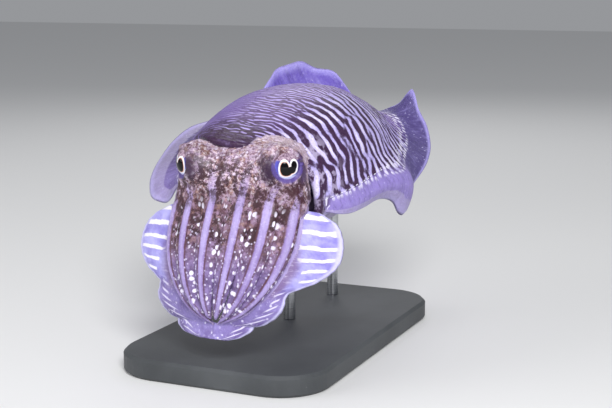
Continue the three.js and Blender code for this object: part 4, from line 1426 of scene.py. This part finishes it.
def steel_material():
    """Steel brushed round its axis."""
    shade = Shading("brushed_rod")
    place = shade.place()
    stretched = shade.made("ShaderNodeMapping", {}, 0, Vector=place, Scale=(0.12, 0.12, 9.0))
    lines = shade.noise(stretched, 1.6, 4, 0.7)
    cloud = shade.noise(place, 18, 3)
    colour = shade.mix(lines.step(0.3, 0.7), ink(178, 180, 184), ink(212, 214, 218))
    colour = shade.mix(cloud.step(0.4, 0.8) * 0.3, colour, ink(150, 152, 158))
    return shade.finish(colour, 0.2 + lines * 0.2, lines * 0.02, Metallic=1.0, Anisotropic=0.4)


dress(skin, skin_material())

# Eyes, the far one turned forward towards the viewer
GAZE_FORWARD = {"left": 0.0, "right": 6.0}
EYE_ROWS, EYE_COLUMNS = 60, 72


def eye_piece(side, sign):
    """A ball whose pole looks the way the eye does."""
    centre, look = eye_place(sign)
    outward = unit(np.cross(look, [0, 0, 1.0]))
    upward = np.cross(look, outward)
    polar = np.linspace(0, np.pi, EYE_ROWS + 1)[1:-1]
    turn = np.linspace(0, 2 * np.pi, EYE_COLUMNS, endpoint=False)
    a, b = np.meshgrid(polar, turn, indexing="ij")
    ring = np.cos(b)[..., None] * outward + np.sin(b)[..., None] * upward
    rings = centre + EYE_RADIUS * (np.sin(a)[..., None] * ring + np.cos(a)[..., None] * look)
    vertices, faces = loft(rings, centre + EYE_RADIUS * look, centre - EYE_RADIUS * look)
    piece = closed_object(f"eyeball_{side}", vertices, faces)
    set_mark(piece.data, "eyes", eye_view(vertices, sign, GAZE_FORWARD[side]))
    piece.data.shade_smooth()
    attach(piece, "root")
    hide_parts(f"eye_{side}")
    return piece


eye_looks = eye_material()
for side, sign in SIDES:
    dress(eye_piece(side, sign), eye_looks)

# Suckers: four rows on each arm's inner face, as one mesh; a cup's profile is (radius, height)
SUCKER_ROWS = (-0.66, -0.22, 0.22, 0.66)
SUCKER_PROFILE = ((0.0, -0.5), (0.42, -0.4), (0.45, 0.0), (0.98, 0.3), (0.9, 0.66), (0.62, 0.5), (0.0, 0.15))
SUCKER_SIDES = 9
SUCKER_FIRST, SUCKER_STAGGER = 0.09, 0.012
SUCKER_END_GAP = 0.03
SUCKER_SPACING = 2.35
SUCKER_LARGEST, SUCKER_SMALLEST = 1.05, 0.3


def sucker_places():
    """Places, aims and sizes of the suckers."""
    places, aims, sizes = [], [], []
    for _, sign in SIDES:
        for start, end, reach in ARMS:
            middle = math.radians(start + end) / 2
            half = math.radians(end - start) / 2 * ARM_INNER_WIDTH
            last = min(reach, 0.99) - SUCKER_END_GAP
            for k, row in enumerate(SUCKER_ROWS):
                angle = sign * (middle + half * row)
                flat = math.sqrt(1 - abs(row) ** (2 / ARM_SQUARENESS)) ** ARM_SQUARENESS
                share = SUCKER_FIRST + SUCKER_STAGGER * (k % 2)
                while share < last:
                    size = lerp(SUCKER_LARGEST, SUCKER_SMALLEST, share / last)
                    inner = inner_share(share)
                    radius = (1 + inner) / 2 - flat * (1 - inner) / 2
                    _, _, lateral, dorsal = spine(crown_station(share))
                    across = math.sin(angle) / crown_half(share, CROWN_WIDTH)
                    up = math.cos(angle) / crown_half(share, CROWN_DEPTH)
                    places.append(crown_point(share, angle, radius))
                    aims.append(-unit(lateral * across + dorsal * up))
                    sizes.append(size)
                    share += SUCKER_SPACING * size / CROWN_LENGTH
    return np.array(places), np.array(aims), np.array(sizes)


def sucker_cup():
    turn = np.linspace(0, 2 * np.pi, SUCKER_SIDES, endpoint=False)
    profile = SUCKER_PROFILE[1:-1]
    rings = np.array([[(r * math.cos(a), r * math.sin(a), h) for a in turn] for r, h in profile])
    ends = [np.array([0, 0, SUCKER_PROFILE[k][1]]) for k in (0, -1)]
    return closed_object("cup", *loft(rings, *ends))


def sucker_tree(material):
    """Puts a cup on each point, turned to its aim and scaled to its size."""
    tree = bpy.data.node_groups.new("suckers", "GeometryNodeTree")
    for name, way, kind in (
        ("Geometry", "INPUT", "Geometry"), ("Cup", "INPUT", "Object"), ("Size", "INPUT", "Float"),
        ("Geometry", "OUTPUT", "Geometry"),
    ):
        tree.interface.new_socket(name, in_out=way, socket_type=f"NodeSocket{kind}")

    def stored(name, kind):
        """A mark of each point."""
        node = tree.nodes.new("GeometryNodeInputNamedAttribute")
        node.data_type = kind
        node.inputs["Name"].default_value = name
        return node.outputs["Attribute"]

    given = tree.nodes.new("NodeGroupInput").outputs
    result = tree.nodes.new("NodeGroupOutput").inputs
    cup = tree.nodes.new("GeometryNodeObjectInfo")
    scaled = tree.nodes.new("ShaderNodeMath")
    scaled.operation = "MULTIPLY"
    aimed = tree.nodes.new("FunctionNodeAlignRotationToVector")
    aimed.axis = "Z"
    spread = tree.nodes.new("GeometryNodeInstanceOnPoints")
    real = tree.nodes.new("GeometryNodeRealizeInstances")
    painted = tree.nodes.new("GeometryNodeSetMaterial")
    painted.inputs["Material"].default_value = material
    for output, socket in (
        (given["Geometry"], spread.inputs["Points"]),
        (given["Cup"], cup.inputs["Object"]),
        (cup.outputs["Geometry"], spread.inputs["Instance"]),
        (stored("aim", "FLOAT_VECTOR"), aimed.inputs["Vector"]),
        (aimed.outputs["Rotation"], spread.inputs["Rotation"]),
        (stored("size", "FLOAT"), scaled.inputs[0]),
        (given["Size"], scaled.inputs[1]),
        (scaled.outputs[0], spread.inputs["Scale"]),
        (spread.outputs["Instances"], real.inputs["Geometry"]),
        (real.outputs["Geometry"], painted.inputs["Geometry"]),
        (painted.outputs["Geometry"], result["Geometry"]),
    ):
        tree.links.new(output, socket)
    return tree


def suckers_piece():
    places, aims, sizes = sucker_places()
    points = mesh_object("sucker_points", places, [])
    set_mark(points.data, "aim", aims)
    set_mark(points.data, "size", sizes)
    cup = sucker_cup()
    tree = sucker_tree(sucker_material())
    spreading = points.modifiers.new("spread", "NODES")
    spreading.node_group = tree
    given = {"Cup": cup, "Size": 1.0}
    for item in tree.interface.items_tree:
        if item.in_out == "INPUT" and item.name in given:
            spreading[item.identifier] = given[item.name]
    mesh = evaluated_mesh(points)
    for helper in (points, cup):
        bpy.data.objects.remove(helper)
    mesh.shade_smooth()
    piece = add_object("suckers", mesh)
    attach(piece, "root")


suckers_piece()

# Display stand
paint, steel = paint_material(), steel_material()
dress(bpy.data.objects["stand_base"], paint)
for name in ("stand_rod_front", "stand_rod_rear"):
    dress(bpy.data.objects[name], steel)

# Floor, light and camera in metres, watts and degrees, with the lens and sensor in millimetres
FLOOR_HALF = 4
LAMP_AIM = (0, 0, 0.08)
LAMPS = (
    ("key", (0.55, -0.85, 0.75), 0.55, 14),
    ("fill", (-0.8, -0.6, 0.5), 0.8, 3.6),
    ("back", (-0.3, 0.9, 0.8), 0.6, 2),
)
SKY_COLOUR, SKY_STRENGTH = (0.8, 0.82, 0.86, 1), 0.38
CAMERA_PLACE = (0.2658, -0.5710, 0.1815)
CAMERA_PITCH, CAMERA_YAW = 80, 24
CAMERA_LENS, CAMERA_SENSOR = 75, 36
CAMERA_NEAR, CAMERA_FAR = 0.01, 20

floor_mesh = bpy.data.meshes.new("floor")
floor_corners = [(FLOOR_HALF * x, FLOOR_HALF * y, 0) for x, y in ((-1, -1), (1, -1), (1, 1), (-1, 1))]
floor_mesh.from_pydata(floor_corners, [], [(0, 1, 2, 3)])
floor = add_object("floor", floor_mesh)

for name, place, size, power in LAMPS:
    light = bpy.data.lights.new(name, "AREA")
    light.shape = "DISK"
    light.size = size
    light.energy = power
    lamp = add_object(name, light)
    lamp.location = place
    lamp.rotation_euler = (Vector(LAMP_AIM) - Vector(place)).to_track_quat("-Z", "Y").to_euler()

world = bpy.data.worlds.new("world")
world.use_nodes = True
sky = world.node_tree.nodes["Background"].inputs
sky["Color"].default_value = SKY_COLOUR
sky["Strength"].default_value = SKY_STRENGTH
bpy.context.scene.world = world
bpy.context.scene.view_settings.view_transform = "Standard"

camera_data = bpy.data.cameras.new("camera")
camera_data.lens = CAMERA_LENS
camera_data.sensor_width = CAMERA_SENSOR
camera_data.clip_start = CAMERA_NEAR
camera_data.clip_end = CAMERA_FAR
camera = add_object("camera", camera_data)
camera.location = CAMERA_PLACE
camera.rotation_euler = (math.radians(CAMERA_PITCH), 0, math.radians(CAMERA_YAW))
bpy.context.scene.camera = camera
